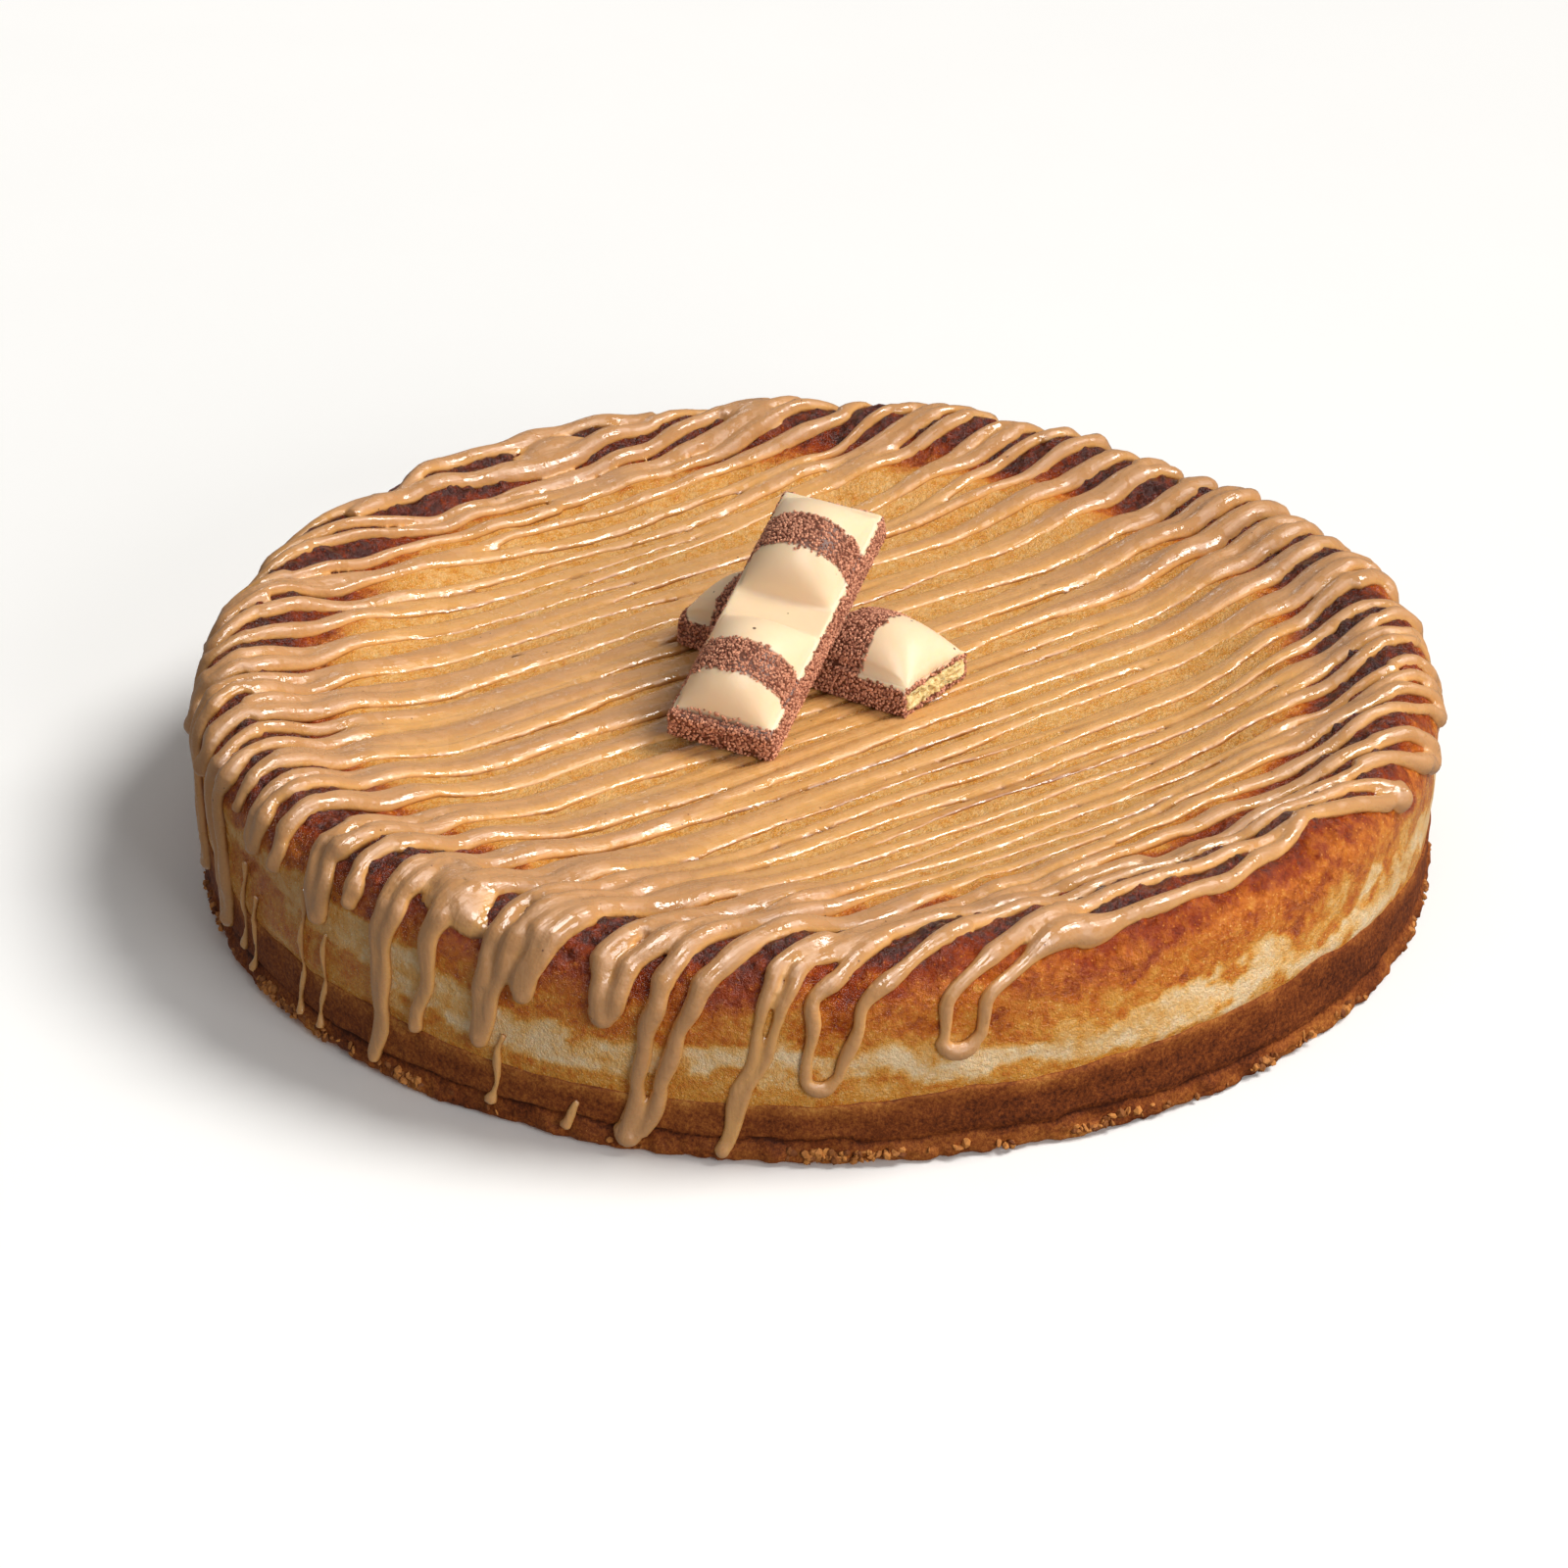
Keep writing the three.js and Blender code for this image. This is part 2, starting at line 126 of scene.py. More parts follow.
# Lumps in layers: height, size, seed and, for flat lumps, how much flatter than wide they are
CRUMB_LINE_LUMPS = ((0.9, 14, 3), (0.35, 3, 4))
WALL_SWELLS = ((0.45, 15, 13, 1.8), (0.16, 4, 14, 1.6))
RIM_BLISTERS = ((0.9, 3.4, 11), (0.6, 1.8, 12))
BROWNING_SHIFTS = ((3.0, 11, 21), (2.0, 4.5, 22, 1.6))
PALE_EDGE_LUMPS = ((1, 5, 27, 1.5), (0.6, 2.2, 28))
FOOT_LUMPS = ((0.7, 1.5, 31), (0.6, 4, 32), (0.5, 11, 33))
FOOT_RISES = ((0.6, 5, 34), (0.3, 2, 38))
BASE_WALL_LUMPS = ((0.22, 3, 35), (0.2, 10, 36, 3))
CRUMB_PATCHES = ((2, 9, 41), (1.2, 2.5, 42))
COCOA_EDGE_LUMPS = ((0.6, 2.4, 51), (0.4, 1.1, 52))
WAFER_BREAK_LUMPS = ((0.5, 0.9, 62), (0.35, 0.45, 63))

# Sizes of the biscuit base
FOOT_RADIUS = 130.1
FOOT_HEIGHT = 3.6
GROOVE_HEIGHT = 5.2
GROOVE_DEPTH = 0.4
BASE_WALL_RADIUS = CAKE_RADIUS - LAYER_GAP
CRUMB_LINE_SWING = 2.6

# Outline of the base from its underside up to the groove: distance out, height and looseness of the crumb,
# which is low in the groove as painted shade
BISCUIT_PROFILE = (
    (FOOT_RADIUS - 1.2, 0, 0.5),
    (FOOT_RADIUS - 0.4, 0.3, 0.5),
    *((FOOT_RADIUS, height, 0.5) for height in np.arange(0.8, FOOT_HEIGHT - 1, 0.5)),
    (FOOT_RADIUS - 0.15, FOOT_HEIGHT - 0.5, 0.45),
    (BASE_WALL_RADIUS, FOOT_HEIGHT + 0.3, 0.42),
    # Painted shade: the crumb's looseness, and so its colour, is low and dark down in the groove
    (BASE_WALL_RADIUS - GROOVE_DEPTH * 0.5, GROOVE_HEIGHT - 0.5, 0.3),
    (BASE_WALL_RADIUS - GROOVE_DEPTH, GROOVE_HEIGHT, 0.08),
    (BASE_WALL_RADIUS - GROOVE_DEPTH * 0.3, GROOVE_HEIGHT + GROOVE_DEPTH, 0.28),
)
LOOSE_CRUMB = 0.43
LOOSE_ROUGHNESS = 0.95
FIRM_ROUGHNESS = 0.4
WALL_LOOSENESS = 0.44
# Painted shade: how much darker the biscuit wall is made towards the side facing the light and the side in
# shade
LIT_SIDE_PAINTED_SHADE = 0.23
SHADED_SIDE_PAINTED_SHADE = 0.12
TOP_EDGE_LIGHTER = 0.45

# Rings on top of the base: inset, and depth below the line where it meets the filling
BISCUIT_TOP = ((0.5, -0.25), (2.5, 0.3))

# Rings that carry loose crumbs at the foot: distance out and height
CRUMB_RINGS = (
    (FOOT_RADIUS, 1.0), (FOOT_RADIUS + 0.1, 1.6), (FOOT_RADIUS + 0.1, 2.2), (FOOT_RADIUS - 0.3, 3.1),
)
CRUMB_RING_POINTS = 720

# How grains are strewn, in metres
FOOT_CRUMBS = {"Grains per square metre": 1600000.0, "Smallest": 0.3 * MM, "Largest": 2.5 * MM, "Seed": 7}
COCOA_GRAINS = {"Grains per square metre": 3400000.0, "Smallest": 0.42 * MM, "Largest": 0.9 * MM, "Seed": 3}

# Sizes of the cream, one long line laid to and fro from the front of the cake to its back
STRAND_ANGLE = 37
STRAND_COUNT = 44
STRAND_PITCH = 5.45
FRONT_STRAND = 121.2
STRAND_SHIFT = 0.7
FREE_END_HEIGHT = 41
DRIP_LEAN = 0.3
LEFT_TURN_HEIGHTS = (
    24, 17, 2.6, 3.4, 30, 31, 18, 15.6, 4, 37, 30, 35, 34, 38, 8, 36, 10, 34, 28, 36, 20, 33,
)
RIGHT_TURN_LOWEST = 6
RIGHT_TURN_HIGHEST = 40
BAND_HALF_WIDTH = 1.95
BAND_HALF_HEIGHT = 1.0
BAND_SINK = 0.2
BAND_STEP = 1.2
SHORTEST_BAND = 3
RIM_STRAND_RADIUS = 1.8
RIM_STRAND_SINK = -0.1
DRIP_RADIUS = 1.35
DRIP_STEP = 1.3
DRIP_THINNING = 26
TURN_BEAD = 0.4
KINK_PATH = 26
KINK_SPREAD = 5
BEAD_SPREAD = 1.6
FRONT_RUN_RADIUS = 124.3
FRONT_RUN_END = -38
BACK_RUN = (108, 150)
WEB_RADIUS = 3.6
WEB_SINK = 2.4
CREAM_UNDERSIDE = 0.7
CREAM_VOXEL = 0.48
CREAM_TRIANGLES = 190000
FULL_RISE = 2

# How strands run together: shares of the way to a mate, and stretches over which they come and go
PAIR_HOLD = 0.48
PAIR_HOLD_SPREAD = 0.28
PAIR_ALONG = (0, 60)
PAIR_RELEASE = (97, 114)
SQUARE_ON = (0.74, 0.94)
SQUARE_ON_HOLD = 0.85
TURN_HOLD = 0.62
TURN_HOLD_SPREAD = 0.22
BUNCHING = (84, 112)
BUNCH_INSET = (4, 20)
BAND_END = (86, 112)

# Bunches at the rim: sideways draw, length, and phase for each side and for both
BUNCHES = ((1.7, 3.3, 2.3, 0), (1.3, 6.1, 1.7, 1))

# Waves in the cream: height, length and factor on the strand's own phase
BAND_WANDER = ((1.0, 27, 1), (0.4, 9, 2))
BAND_SPREAD = ((0.2, 23, 3), (0.08, 6, 1), (0.04, 1.4, 5), (0.04, 2.3, 4))
BAND_SWELL = ((0.16, 31, 2),)
DRIP_SWAY = ((0.6, 4.7, 1), (0.35, 2.3, 2))
KINK_SWAY = ((0.9, 2.2, 3),)
DRIP_BEADS = ((0.09, 1.9, 1), (0.07, 3.7, 3))
STRING_SWAY = ((0.25, 2.4, 1),)
STRING_BEADS = ((0.25, 1.6, 2),)

# Where the cream runs together or thins out: place across and along, reach and change of thickness
CREAM_POOLS = (
    (74, 56, 32, 0.9),
    (-58, -14, 44, 0.65),
    (-35, -90, 30, 0.85),
    (0, -104, 20, 0.4),
    (50, -116, 8, 0.9),
    (-17, 116, 13, 0.4),
    (-62, 100, 15, 0.4),
    (40, -45, 40, -0.1),
)

# Where neighbouring strands have flowed together: direction, half width in degrees and path in from the crest
CREAM_WEBS = (
    (-126, 4.5, 3), (-125, 4.5, 0), (-124, 4, -3), (-123, 3.5, -6), (122, 5, 3), (97, 4, -1), (97, 3, 3),
)

# Thin strings of cream that have run down the wall: direction, and heights of their start and end
CREAM_STRINGS = (
    (-157, 26, 4), (-151, 28, 6), (-149, 22, 3), (-140, 34, 3), (-137, 26, 3), (-117, 20, 4), (-110, 9, 3),
)
STRING_RADIUS = 0.65
STRING_LEAN = -1.6

# Sizes of the wafer bars
BAR_WIDTH = 23.5
TRAY_HEIGHT = 6.4
BAR_HEIGHT = 14.8
HUMP_HALF_LENGTH = 14
HUMP_HALF_WIDTH = 11
HUMP_SPREAD = 0.265
HUMP_LONG_ROUNDNESS = 2.3
HUMP_CROSS_ROUNDNESS = 2.0
HUMP_FULLNESS = 0.6
HUMP_FOOT = 1.1
UNDERSIDE_COVER = 0.5
BAR_DRAFT = 0.5
BAR_CORNER = 1.6
BAR_EDGE = 0.9
BAR_FOOT_EDGE = 0.4
UPPER_BAR_LENGTH = 67
LOWER_BAR_LENGTH = 59
BAR_REST = 36.6
UPPER_BAR_TURN = (68, 20.7, 5.9)
UPPER_BAR_MIDDLE = (-7.9, -3.2)
LOWER_BAR_PLACE = (0.8, 9.1, BAR_REST)
LOWER_BAR_TURN = (-35.5, 0, 0)
WAFER_HEIGHT = 3.6
WAFER_FOOT = 1.2
WAFER_MARGIN = 1.3
WAFER_MIDDLE = WAFER_FOOT + WAFER_HEIGHT / 2
WAFER_START = 2 * WAFER_MARGIN - LOWER_BAR_LENGTH / 2
SLOT_GAP = 0.1
SLOT_RINGS = 2

# Bands of cocoa across the bars: place along the bar and half width
UPPER_BAR_BANDS = ((-20, 4.0), (16.8, 4.4))
LOWER_BAR_BANDS = ((-17, 4.2), (13.0, 4.6))


# Rules that the shapes share


def scatter(index, use):
    """A fixed number from -1 to 1 for each index and use; the use only keeps the draws apart."""
    wave = math.sin(index * 12.9898 + use * 78.233) * 43758.5453
    return 2 * (wave - math.floor(wave)) - 1


def smooth_step(value, low, high):
    share = np.clip((np.asarray(value, float) - low) / (high - low), 0, 1)
    return share * share * (3 - 2 * share)


def between(first, second, share):
    return first + (second - first) * share


def hill(value, middle, spread):
    return np.exp(-(((value - middle) / spread) ** 2))


def wrapped(turn, whole=2 * math.pi):
    """The same turn, within half a turn either way."""
    return (turn + whole / 2) % whole - whole / 2


def facing(angle, bearing, low, high):
    """How much directions face a bearing, from 0 to 1."""
    return smooth_step(np.cos(angle - math.radians(bearing)), low, high)


def waves(way, phase, parts):
    return sum(height * np.sin(way / length + factor * phase) for height, length, factor in parts)


def lattice(cell, seed):
    """A fixed number from -1 to 1 for each whole-numbered cell."""
    mixed = cell @ np.array([73856093, 19349663, 83492791]) + seed * 2654435761
    mixed = (mixed ^ (mixed >> 13)) * 1274126177
    mixed = mixed ^ (mixed >> 16)
    return (mixed & 0xFFFF) / 32767.5 - 1


def lumps(points, size, seed, flatter=1):
    """Smooth unevenness from -1 to 1 at each point, with lumps about one size apart, flatter by a factor."""
    grid = points * (1, 1, flatter) / size
    cell = np.floor(grid).astype(np.int64)
    share = grid - cell
    share = share * share * (3 - 2 * share)
    total = np.zeros(len(points))
    for corner in np.ndindex(2, 2, 2):
        weight = np.prod(np.where(np.array(corner) == 1, share, 1 - share), axis=1)
        total += weight * lattice(cell + np.array(corner), seed)
    return total


def layered_lumps(points, layers):
    return sum(height * lumps(points, *layer) for height, *layer in layers)


def ring_angles(count):
    return np.arange(count) * 2 * math.pi / count


def round_points(out, angle, height):
    """Points at distances out from the middle of the cake, directions and heights."""
    return np.column_stack((out * np.cos(angle), out * np.sin(angle), np.broadcast_to(height, angle.shape)))


# The skin of the cake


def rim_unevenness(angle):
    degrees = np.degrees(angle)
    dip = RIM_DIP * hill(wrapped(degrees - RIM_DIP_ANGLE, 360), 0, RIM_DIP_SPREAD)
    tilt = RIM_TILT * np.cos(np.radians(degrees - RIM_TILT_ANGLE))
    return tilt - dip + sum(height * np.sin(count * angle + phase) for height, count, phase in RIM_WAVES)


def rim_lift(out, up, angle):
    """How far the uneven rim lifts the skin, less and less towards the dish and the foot."""
    share = smooth_step(out, DISH_RADIUS, RIM_RADIUS) * smooth_step(up, FILLING_FOOT, RIM_HEIGHT)
    return rim_unevenness(angle) * share


def base_wall_radius(height):
    return np.where(height < FOOT_HEIGHT, FOOT_RADIUS, BASE_WALL_RADIUS)


def dish_rise(out):
    """How far the skin stands above the middle of the dish, with a low place just inside the rim."""
    dip = INNER_DIP * hill(out, INNER_DIP_RADIUS, INNER_DIP_SPREAD)
    return (RIM_HEIGHT - DISH_HEIGHT) * smooth_step(out, DISH_RADIUS, RIM_RADIUS) - dip


def skin_at(path):
    """How far out and how high the skin is after a length of path up the wall, round the shoulder and in over
    the dish, and how far its outward direction leans up. Below the filling the path runs down the base."""
    path = np.asarray(path, float)
    lean = np.clip((path - WALL_LENGTH) / SHOULDER_LENGTH, 0, 1) * math.pi / 2
    dish_out = RIM_RADIUS - (path - CREST_PATH)
    low = FILLING_FOOT + path
    wall_out = np.where(path < 0, base_wall_radius(low), CAKE_RADIUS)
    places = (path > CREST_PATH, path < WALL_LENGTH)
    out = np.select(places, (dish_out, wall_out), RIM_RADIUS + SHOULDER_DEPTH * np.cos(lean))
    dish_up = DISH_HEIGHT + dish_rise(dish_out)
    up = np.select(places, (dish_up, low), SHOULDER_HEIGHT + SHOULDER_RISE * np.sin(lean))
    return out, up, lean


def shoulder_path(lean):
    return WALL_LENGTH + SHOULDER_LENGTH * lean / (math.pi / 2)


def path_at_height(height):
    if height <= SHOULDER_HEIGHT:
        return height - FILLING_FOOT
    return shoulder_path(math.asin(min((height - SHOULDER_HEIGHT) / SHOULDER_RISE, 1)))


def path_at_radius(out):
    """Length of path at a distance from the middle, on the dish or the shoulder."""
    if out < RIM_RADIUS:
        return CREST_PATH + RIM_RADIUS - out
    return shoulder_path(math.acos(min((out - RIM_RADIUS) / SHOULDER_DEPTH, 1)))


def skin_points(path, angle, proud):
    """Points at a distance off the skin."""
    out, up, lean = skin_at(path)
    height = up + rim_lift(out, up, angle) + proud * np.sin(lean)
    return round_points(out + proud * np.cos(lean), angle, height)


def skin_outward(path, angle):
    """Outward direction of the skin, which leans inwards on the slope of the dish."""
    out, _, lean = skin_at(path)
    on_dish = path > CREST_PATH
    sideways = np.where(on_dish, dish_rise(out - 0.5) - dish_rise(out + 0.5), np.cos(lean))
    outward = round_points(sideways, angle, np.where(on_dish, 1, np.sin(lean)))
    return outward / np.linalg.norm(outward, axis=1)[:, None]


def skin_depth(points):
    """How deep points are under the skin, and the outward direction there."""
    x, y, z = points.T
    out = np.hypot(x, y)
    level = z - rim_lift(out, z, np.arctan2(y, x))
    over = np.clip((out - RIM_RADIUS) / SHOULDER_DEPTH, 0, None)
    above = np.clip((level - SHOULDER_HEIGHT) / SHOULDER_RISE, 0, None)
    swing = np.maximum(np.hypot(over, above), 1e-6)
    dish = DISH_HEIGHT + dish_rise(out) - level
    wall = np.where(level < FILLING_FOOT, base_wall_radius(level), CAKE_RADIUS) - out
    corner = (1 - swing) * (SHOULDER_DEPTH + SHOULDER_RISE) / 2
    places = (out < RIM_RADIUS, level < SHOULDER_HEIGHT)
    depth = np.select(places, (dish, wall), corner)
    sideways = np.select(places, (0, 1), over / swing) / np.maximum(out, 1e-6)
    upward = np.select(places, (1, 0), above / swing)
    return depth, np.column_stack((sideways * x, sideways * y, upward))


# Making meshes


def adjusted(item, **settings):
    """Set several properties of an item."""
    for name, value in settings.items():
        setattr(item, name, value)
    return item


def add_object(name, data):
    made = bpy.data.objects.new(name, data)
    bpy.context.scene.collection.objects.link(made)
    return made


def store(mesh, label, values):
    """Store a number or a direction at each point of a mesh."""
    values = np.asarray(values, np.float32)
    kind, field = ("FLOAT", "value") if values.ndim == 1 else ("FLOAT_VECTOR", "vector")
    mesh.attributes.new(label, kind, "POINT").data.foreach_set(field, values.ravel())


def mesh_piece(name, points, faces, material, attributes=None, edges=()):
    """A smooth piece from points in millimetres, with values for its material stored at each point."""
    mesh = bpy.data.meshes.new(name)
    mesh.from_pydata((np.asarray(points) * MM).tolist(), edges, faces)
    for label, values in (attributes or {}).items():
        store(mesh, label, values)
    mesh.shade_smooth()
    mesh.materials.append(material)
    return add_object(name, mesh)


def fan(start, count, tip):
    """Triangles from a ring to a point in its middle."""
    k = np.arange(count)
    return np.column_stack((start + k, start + (k + 1) % count, np.full(count, tip)))


def ring_shape(rings, first_middle, last_middle):
    """Points and faces of rings, each as fine as the last or half as fine, closed to a point at each end."""
    counts = [len(ring) for ring in rings]
    start = 1
    faces = fan(start, counts[0], 0)[:, ::-1].tolist()
    for near, far in zip(counts, counts[1:]):
        k = np.arange(far)
        end = start + near
        step = near // far
        if step == 2:
            faces += np.column_stack((start + 2 * k, start + 2 * k + 1, end + k)).tolist()
        corners = (start + step * (k + 1) - 1, start + step * (k + 1) % near, end + (k + 1) % far, end + k)
        faces += np.column_stack(corners).tolist()
        start = end
    faces += fan(start, counts[-1], start + counts[-1]).tolist()
    return np.vstack([[first_middle], *rings, [last_middle]]), faces


def plain_piece(name, carrier):
    """The evaluated mesh of an object with modifiers, as a plain piece in its place."""
    evaluated = carrier.evaluated_get(bpy.context.evaluated_depsgraph_get())
    mesh = bpy.data.meshes.new_from_object(evaluated)
    mesh.name = name
    old = carrier.data
    bpy.data.objects.remove(carrier)
    bpy.data.meshes.remove(old)
    return add_object(name, mesh)


def mesh_coordinates(mesh):
    flat = np.empty(len(mesh.vertices) * 3, np.float32)
    mesh.vertices.foreach_get("co", flat)
    return flat.reshape(-1, 3).astype(float) / MM


def belongs(piece, slot, *nodes):
    """Put a piece on the root body and hide the solids that it stands for. The slot is not used."""
    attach(piece, "root")
    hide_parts(*nodes)


# Making node trees


def set_inputs(tree, made, inputs):
    """Link or set the inputs of a node, by name or number."""
    for name, value in inputs.items():
        if isinstance(value, bpy.types.NodeSocket):
            tree.links.new(value, made.inputs[name])
        else:
            made.inputs[name].default_value = value


def tree_node(tree, kind, inputs=None, output=0, **settings):
    """Add a node and hand back one of its outputs."""
    made = adjusted(tree.nodes.new(kind), **settings)
    set_inputs(tree, made, inputs or {})
    return made.outputs[output]


def calculated(tree, operation, *values):
    return tree_node(tree, "ShaderNodeMath", dict(enumerate(values)), operation=operation)


def geometry_tree(name, sizes):
    """An empty tree with named inputs, and the sockets that bring them in."""
    tree = bpy.data.node_groups.new(name, "GeometryNodeTree")
    for label, kind in {"Geometry": "Geometry", **sizes}.items():
        tree.interface.new_socket(label, in_out="INPUT", socket_type="NodeSocket" + kind)
    tree.interface.new_socket("Geometry", in_out="OUTPUT", socket_type="NodeSocketGeometry")
    return tree, tree.nodes.new("NodeGroupInput").outputs


def end_tree(tree, geometry, material):
    """End a tree in plain geometry that has its material."""
    whole = tree_node(tree, "GeometryNodeRealizeInstances", {"Geometry": geometry})
    finished = tree_node(tree, "GeometryNodeSetMaterial", {"Geometry": whole, "Material": material})
    set_inputs(tree, tree.nodes.new("NodeGroupOutput"), {"Geometry": finished})
    return tree


def add_tree(carrier, tree, values):
    modifier = carrier.modifiers.new(tree.name, "NODES")
    modifier.node_group = tree
    for item in tree.interface.items_tree:
        if item.in_out == "INPUT" and item.name in values:
            modifier[item.identifier] = values[item.name]


def stored(tree, label, kind="FLOAT"):
    return tree_node(tree, "GeometryNodeInputNamedAttribute", {"Name": label}, data_type=kind)


def cream_line_tree():
    """Strands along the chains of edges it gets, as wide and as flat on the skin as each point says."""
    tree, given = geometry_tree("cream_line", {"Sides": "Int", "Cream": "Material"})
    strand = tree_node(tree, "GeometryNodeCurveToMesh", {
        "Curve": tree_node(tree, "GeometryNodeMeshToCurve", {"Mesh": given["Geometry"]}),
        "Profile Curve": tree_node(tree, "GeometryNodeCurvePrimitiveCircle", {
            "Resolution": given["Sides"],
            "Radius": 1,
        }),
        "Scale": stored(tree, "thickness"),
        "Fill Caps": True,
    })
    place = tree_node(tree, "GeometryNodeInputPosition")
    middle = stored(tree, "middle", "FLOAT_VECTOR")
    outward = stored(tree, "outward", "FLOAT_VECTOR")
    away = tree_node(tree, "ShaderNodeVectorMath", {0: place, 1: middle}, operation="SUBTRACT")
    proud = tree_node(tree, "ShaderNodeVectorMath", {0: away, 1: outward}, "Value", operation="DOT_PRODUCT")
    drawn_in = calculated(tree, "MULTIPLY", proud, stored(tree, "squeeze"))
    shift = tree_node(tree, "ShaderNodeVectorMath", {0: outward, "Scale": drawn_in}, operation="SCALE")
    flattened = tree_node(tree, "GeometryNodeSetPosition", {"Geometry": strand, "Offset": shift})
    return end_tree(tree, flattened, given["Cream"])


def grain_tree():
    """Rough grains strewn on a surface, as close together as its cover value says."""
    tree, given = geometry_tree("strewn_grains", {
        "Grains per square metre": "Float",
        "Smallest": "Float",
        "Largest": "Float",
        "Seed": "Int",
        "Grain finish": "Material",
    })

    def drawn(kind, output, inputs):
        """A value drawn for each grain."""
        inputs = {**inputs, "Seed": given["Seed"]}
        return tree_node(tree, "FunctionNodeRandomValue", inputs, output, data_type=kind)

    places = tree_node(tree, "GeometryNodeDistributePointsOnFaces", {
        "Mesh": given["Geometry"],
        "Density": calculated(tree, "MULTIPLY", stored(tree, "cover"), given["Grains per square metre"]),
        "Seed": given["Seed"],
    })
    strewn = tree_node(tree, "GeometryNodeInstanceOnPoints", {
        "Points": places,
        "Instance": tree_node(tree, "GeometryNodeMeshIcoSphere", {"Radius": 0.5, "Subdivisions": 1}),
        "Rotation": drawn("FLOAT_VECTOR", 0, {1: (6.28, 6.28, 6.28)}),
        "Scale": drawn("FLOAT_VECTOR", 0, {0: given["Smallest"], 1: given["Largest"]}),
    })
    marked = tree_node(tree, "GeometryNodeStoreNamedAttribute", {
        "Geometry": strewn,
        "Name": "grain_shade",
        "Value": drawn("FLOAT", 1, {}),
    }, data_type="FLOAT", domain="INSTANCE")
    return end_tree(tree, marked, given["Grain finish"])


def strewn_grains(name, points, faces, cover, finish, sizes):
    """Grains on a surface that is only there to carry them."""
    carrier = mesh_piece(name + "_ground", points, faces, finish, {"cover": cover})
    add_tree(carrier, GRAINS, {**sizes, "Grain finish": finish})
    return plain_piece(name, carrier)


# Finishes


def tone(red, green, blue):
    """A colour from its display values, 0 to 255, as the shaders take it."""
    linear = []
    for value in (red, green, blue):
        share = value / 255
        linear.append(share / 12.92 if share <= 0.04045 else ((share + 0.055) / 1.055) ** 2.4)
    return (*linear, 1)


def new_material(name):
    material = bpy.data.materials.new(name)
    material.use_nodes = True
    return material, material.node_tree


def dressed(material, inputs):
    """A material with the inputs of its shader linked or set."""
    tree = material.node_tree
    set_inputs(tree, tree.nodes["Principled BSDF"], inputs)
    return material


def place_on(tree):
    return tree_node(tree, "ShaderNodeTexCoord", output="Object")


def noise_on(tree, size, detail=3, roughness=0.55, place=None):
    """Noise with lumps of a size in millimetres, mostly between 0.3 and 0.7."""
    inputs = {"Scale": 1 / (size * MM), "Detail": detail, "Roughness": roughness}
    inputs["Vector"] = place_on(tree) if place is None else place
    return tree_node(tree, "ShaderNodeTexNoise", inputs)


def cells_on(tree, size, **settings):
    """Distance from the middles of cells of a size in millimetres."""
    inputs = {"Vector": place_on(tree), "Scale": 1 / (size * MM)}
    return tree_node(tree, "ShaderNodeTexVoronoi", inputs, **settings)


def value_at(tree, name):
    return tree_node(tree, "ShaderNodeAttribute", output="Fac", attribute_name=name)


def ramp(tree, value, stops):
    """Colours along a value, as pairs of position and display values or, for a grey, a share of white."""
    made = tree_node(tree, "ShaderNodeValToRGB", {"Fac": value})
    elements = made.node.color_ramp.elements
    while len(elements) < len(stops):
        elements.new(1)
    for element, (position, colour) in zip(elements, stops):
        element.position = position
        element.color = tone(*colour) if isinstance(colour, tuple) else (colour, colour, colour, 1)
    return made


def sum_of(tree, total, *parts):
    """A value plus others, each centred on one half and then taken times its factor."""
    for value, factor in parts:
        total = calculated(tree, "MULTIPLY_ADD", calculated(tree, "SUBTRACT", value, 0.5), factor, total)
    return total


def mixed(tree, share, first, second):
    return tree_node(tree, "ShaderNodeMix", {0: share, 6: first, 7: second}, 2, data_type="RGBA")


def bump(tree, height, distance, strength=1.0):
    inputs = {"Height": height, "Distance": distance * MM, "Strength": strength}
    return tree_node(tree, "ShaderNodeBump", inputs)


def baked_skin_finish():
    """Skin of the filling, from pale cheese through gold and orange brown to almost black."""
    material, tree = new_material("baked_skin")
    # Painted sparkle: small paler dots in the skin's colour that stand for glints
    painted_sparkle = ramp(tree, cells_on(tree, 1.3), ((0.12, 0), (0.2, 0.5)))
    browning = sum_of(
        tree, value_at(tree, "browning"),
        (noise_on(tree, 5, 8, 0.75), 0.55),
        (noise_on(tree, 2.2, 3, 0.6), 0.45),
        (noise_on(tree, 0.9, 2, 0.8), 0.3),
        (painted_sparkle, 0.4),
    )
    colour = ramp(tree, browning, (
        (0.0, (250, 217, 170)),
        (0.2, (242, 190, 118)),
        (0.4, (228, 156, 60)),
        (0.58, (207, 110, 24)),
        (0.76, (160, 60, 13)),
        (0.92, (106, 34, 11)),
        (1.0, (68, 21, 9)),
    ))
    burnt = ramp(tree, browning, ((0.6, 0), (0.85, 1)))
    blisters = calculated(tree, "MULTIPLY", cells_on(tree, 2.2, feature="SMOOTH_F1"), burnt)
    relief = sum_of(tree, noise_on(tree, 1.1, 3, 0.85), (blisters, -1.4))
    return dressed(material, {
        "Base Color": colour,
        "Roughness": ramp(tree, browning, ((0.3, 0.3), (0.75, 0.12))),
        "Normal": bump(tree, relief, 0.9),
        "Subsurface Weight": 0.08,
        "Subsurface Scale": 0.002,
        "Specular IOR Level": 0.35,
    })


